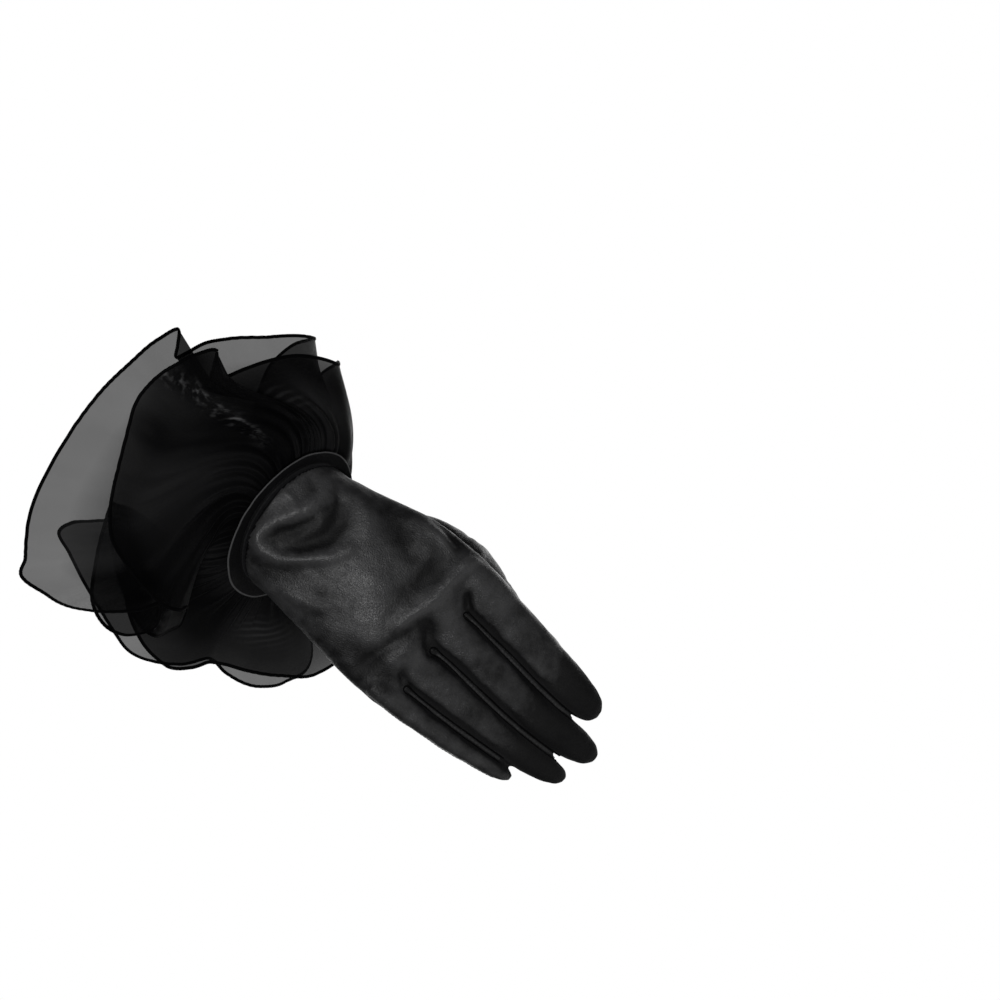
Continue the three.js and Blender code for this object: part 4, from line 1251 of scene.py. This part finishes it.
def welt(name, laid, facing, radius, look, closed=False):
    """A slim sewn welt along points on the skin, puckered by its stitches."""
    run = np.roll(laid, -1, axis=0) - np.roll(laid, 1, axis=0) if closed else np.gradient(laid, axis=0)
    side = unit(np.cross(run, facing))
    stitch = 0.86 + 0.14 * np.cos(run_lengths(laid) * 2 * np.pi / STITCH_PITCH)
    radius = np.broadcast_to(radius, len(laid))
    rows = []
    for across in np.linspace(-1, 1, WELT_SIDES):
        rise = np.minimum(radius, HIGHEST_WELT) * (0.95 * math.cos(across * math.pi / 2) * stitch - 0.15)
        rows.append(laid + (across * radius)[:, None] * side + rise[:, None] * facing)
    obj = add_mesh(name, np.concatenate(rows), grid_faces(WELT_SIDES, len(laid), wrap_columns=closed))
    return dress(obj, look, "satin")


def seam_strip(name, tree, path, radius, look, closed=False):
    laid, facing = on_skin(tree, resample(path, 0.45))
    return welt(name, smooth_path(laid, 3, closed), smooth_path(facing, 4, closed), radius, look, closed)


def open_edge(mesh):
    """The longest run of edges that only one face uses, as points in order."""
    uses = {}
    for face in mesh.polygons:
        for edge in face.edge_keys:
            uses[edge] = uses.get(edge, 0) + 1
    beside = {}
    for (one, two), times in uses.items():
        if times == 1:
            beside.setdefault(one, []).append(two)
            beside.setdefault(two, []).append(one)
    longest, left = [], set(beside)
    while left:
        here = min(left)
        run = []
        while here is not None:
            run.append(here)
            left.discard(here)
            here = next((spot for spot in beside[here] if spot in left), None)
        longest = max(longest, run, key=len)
    points, _ = mesh_arrays(mesh)
    return points[longest]


SEAM_STEP = 0.4
STRIP_HALF = 0.72
FOLD_GAP = 0.25
SIDE_SEAM_RADIUS = 0.42
THUMB_SEAM_RADIUS = 0.55


def finger_seams(tree, high, low, web):
    """The dark welts beside the strip between two fingers, painted shadow in the folds there, and the
    strip, on both sides of the hand.
    """
    down = np.arange(web - 1.0, shorter_tip(high, low) + 7, -0.5)
    flat = np.zeros_like(down)
    middle = finger_gap(high, low, down)
    half_strip = STRIP_HALF + 0.5 * bump(down, web - 1, 3.2) + 0.3 * smooth_step(web - 8, web - 30, down)
    apart = half_strip + FOLD_GAP
    arc = np.linspace(0, np.pi, 9)[1:-1]
    left, right = (np.stack([middle + sign * apart, flat, down], axis=1) for sign in (-1, 1))
    loop = np.stack([middle[0] - apart[0] * np.cos(arc), 0 * arc, down[0] + apart[0] * np.sin(arc)], axis=1)
    path = resample(np.concatenate([left[::-1], loop, right]), SEAM_STEP)
    # the fold on the side of the longer line is the deeper one, and its painted shadow the wider
    radius = 0.3 + 0.42 * smooth_step(0.46, 0.56, np.linspace(0, 1, len(path)))
    radius *= 1 + 0.3 * soft_noise(path, 7, 71)
    strip = resample(np.stack([middle, flat, down + 1.2], axis=1), SEAM_STEP)
    from_top = np.linspace(0, len(strip) * SEAM_STEP, len(strip))
    strip_radius = np.interp(-strip[:, 2], -down, half_strip) * np.sqrt(np.clip(from_top / 1.6, 0.02, 1))
    for side_name, side in (("back", -1), ("palm", 1)):
        for part, line, rounds, size, look in (
            # the seam's welts are painted shadow in the folds beside the strip
            ("seam", path, (3, 6), radius, painted_seam_shadow),
            ("strip", strip, (6, 8), strip_radius + 0.05, strip_satin),
        ):
            laid, facing = (smooth_path(rows, n) for rows, n in zip(on_skin(tree, line, side), rounds))
            welt(f"fourchette_{part}_{high}_{low}_{side_name}", laid, facing, size, look)


def side_line():
    """The line down the little finger's side of the hand."""
    levels = np.linspace(-3, -129, 90)
    palm = table_curve(PALM_SECTIONS, 1, levels / HAND_LENGTH, PALM_WIDTH)
    middle, half_width = across_finger("little", levels)
    x = np.where(levels > -70, palm, middle - half_width)
    y = np.interp(levels, (-129, -80, -60, 0), (bend_depth(np.array([-129.0]))[0], 8.5, 4, 0.5))
    return np.stack([x - 1, y + 1.5, levels], axis=1)


hand_tree = skin_tree(hand)
for high, low, web in WEBS:
    finger_seams(hand_tree, high, low, web)
seam_strip("side_seam", hand_tree, smooth_path(side_line(), 12), SIDE_SEAM_RADIUS, seam_thread)
thumb_line = smooth_path(open_edge(thumb_skin.data), 60, True)
thumb_tree = skin_tree(hand, thumb_skin)
seam_strip("thumb_seam", thumb_tree, thumb_line, THUMB_SEAM_RADIUS, seam_thread, closed=True)


# The floor, the light and the camera, in metres and watts.
LOOKED_AT = Vector((0.0579, 0.0, -0.0637))
ROLL = math.radians(54)
CAMERA_AWAY = 3.0
PICTURE_WIDTH = 0.410
SENSOR = 36
WHITE = (1, 1, 1, 1)
SKY_STRENGTH = 0.035
LIGHTS = (
    # name, place to the right, up and toward the camera, size, power
    ("key", (-0.12, -0.28, 1.5), 0.42, 10.8),
    ("side", (-0.9, 0.8, 0.5), 0.8, 2.0),
    ("back", (0.1, 0.35, -1.6), 2.2, 11.0),
    ("back_left", (-0.9, -0.1, -1.5), 2.0, 7.0),
    ("back_right", (0.9, -0.1, -1.5), 2.0, 6.0),
)
FLOOR_RADIUS = 0.6
FLOOR_LEVEL = -0.62
FLOOR_SIDES = 96

right = Vector((math.cos(ROLL), 0, -math.sin(ROLL)))
up = Vector((math.sin(ROLL), 0, math.cos(ROLL)))
toward = Vector((0, -1, 0))

for name, (rightward, upward, nearer), size, power in LIGHTS:
    data = bpy.data.lights.new(name, "AREA")
    data.shape, data.size, data.energy = "DISK", size, power
    light = bpy.data.objects.new(name, data)
    light.location = LOOKED_AT + right * rightward + up * upward + toward * nearer
    light.rotation_euler = (LOOKED_AT - light.location).to_track_quat("-Z", "Y").to_euler()
    bpy.context.collection.objects.link(light)

# a faint even light, and plain white where the camera sees past the glove
world = bpy.data.worlds.new("studio")
bpy.context.scene.world = world
world.use_nodes = True
nodes, links = world.node_tree.nodes, world.node_tree.links
faint, white = nodes["Background"], nodes.new("ShaderNodeBackground")
for shown, strength in ((faint, SKY_STRENGTH), (white, 1.0)):
    shown.inputs["Color"].default_value = WHITE
    shown.inputs["Strength"].default_value = strength
ray_kind, mix = nodes.new("ShaderNodeLightPath"), nodes.new("ShaderNodeMixShader")
links.new(ray_kind.outputs["Is Camera Ray"], mix.inputs["Fac"])
links.new(faint.outputs[0], mix.inputs[1])
links.new(white.outputs[0], mix.inputs[2])
links.new(mix.outputs[0], nodes["World Output"].inputs["Surface"])

camera_data = bpy.data.cameras.new("camera")
camera_data.sensor_width, camera_data.lens = SENSOR, SENSOR * CAMERA_AWAY / PICTURE_WIDTH
camera_data.clip_end = 20
camera = bpy.data.objects.new("camera", camera_data)
turned = Matrix((right, up, toward)).transposed().to_4x4()
camera.matrix_world = Matrix.Translation(LOOKED_AT + toward * CAMERA_AWAY) @ turned
bpy.context.collection.objects.link(camera)
bpy.context.scene.camera = camera

angles = np.linspace(0, 2 * math.pi, FLOOR_SIDES, endpoint=False)
corners = [(FLOOR_RADIUS * math.cos(a), FLOOR_RADIUS * math.sin(a), FLOOR_LEVEL) for a in angles]
floor = add_mesh("floor", np.array(corners) / MM, [tuple(range(FLOOR_SIDES))], smooth=False)
floor_look = Look("pale_floor", **{"Roughness": 0.85, "Specular IOR Level": 0.2})
mottle = floor_look.noise(floor_look.where(), 9.0, 2.0)
floor_look.mix_colours(mottle, (0.80, 0.80, 0.79), (0.84, 0.84, 0.83))
floor.data.materials.append(floor_look.material)
bpy.context.scene.view_settings.view_transform = "Standard"
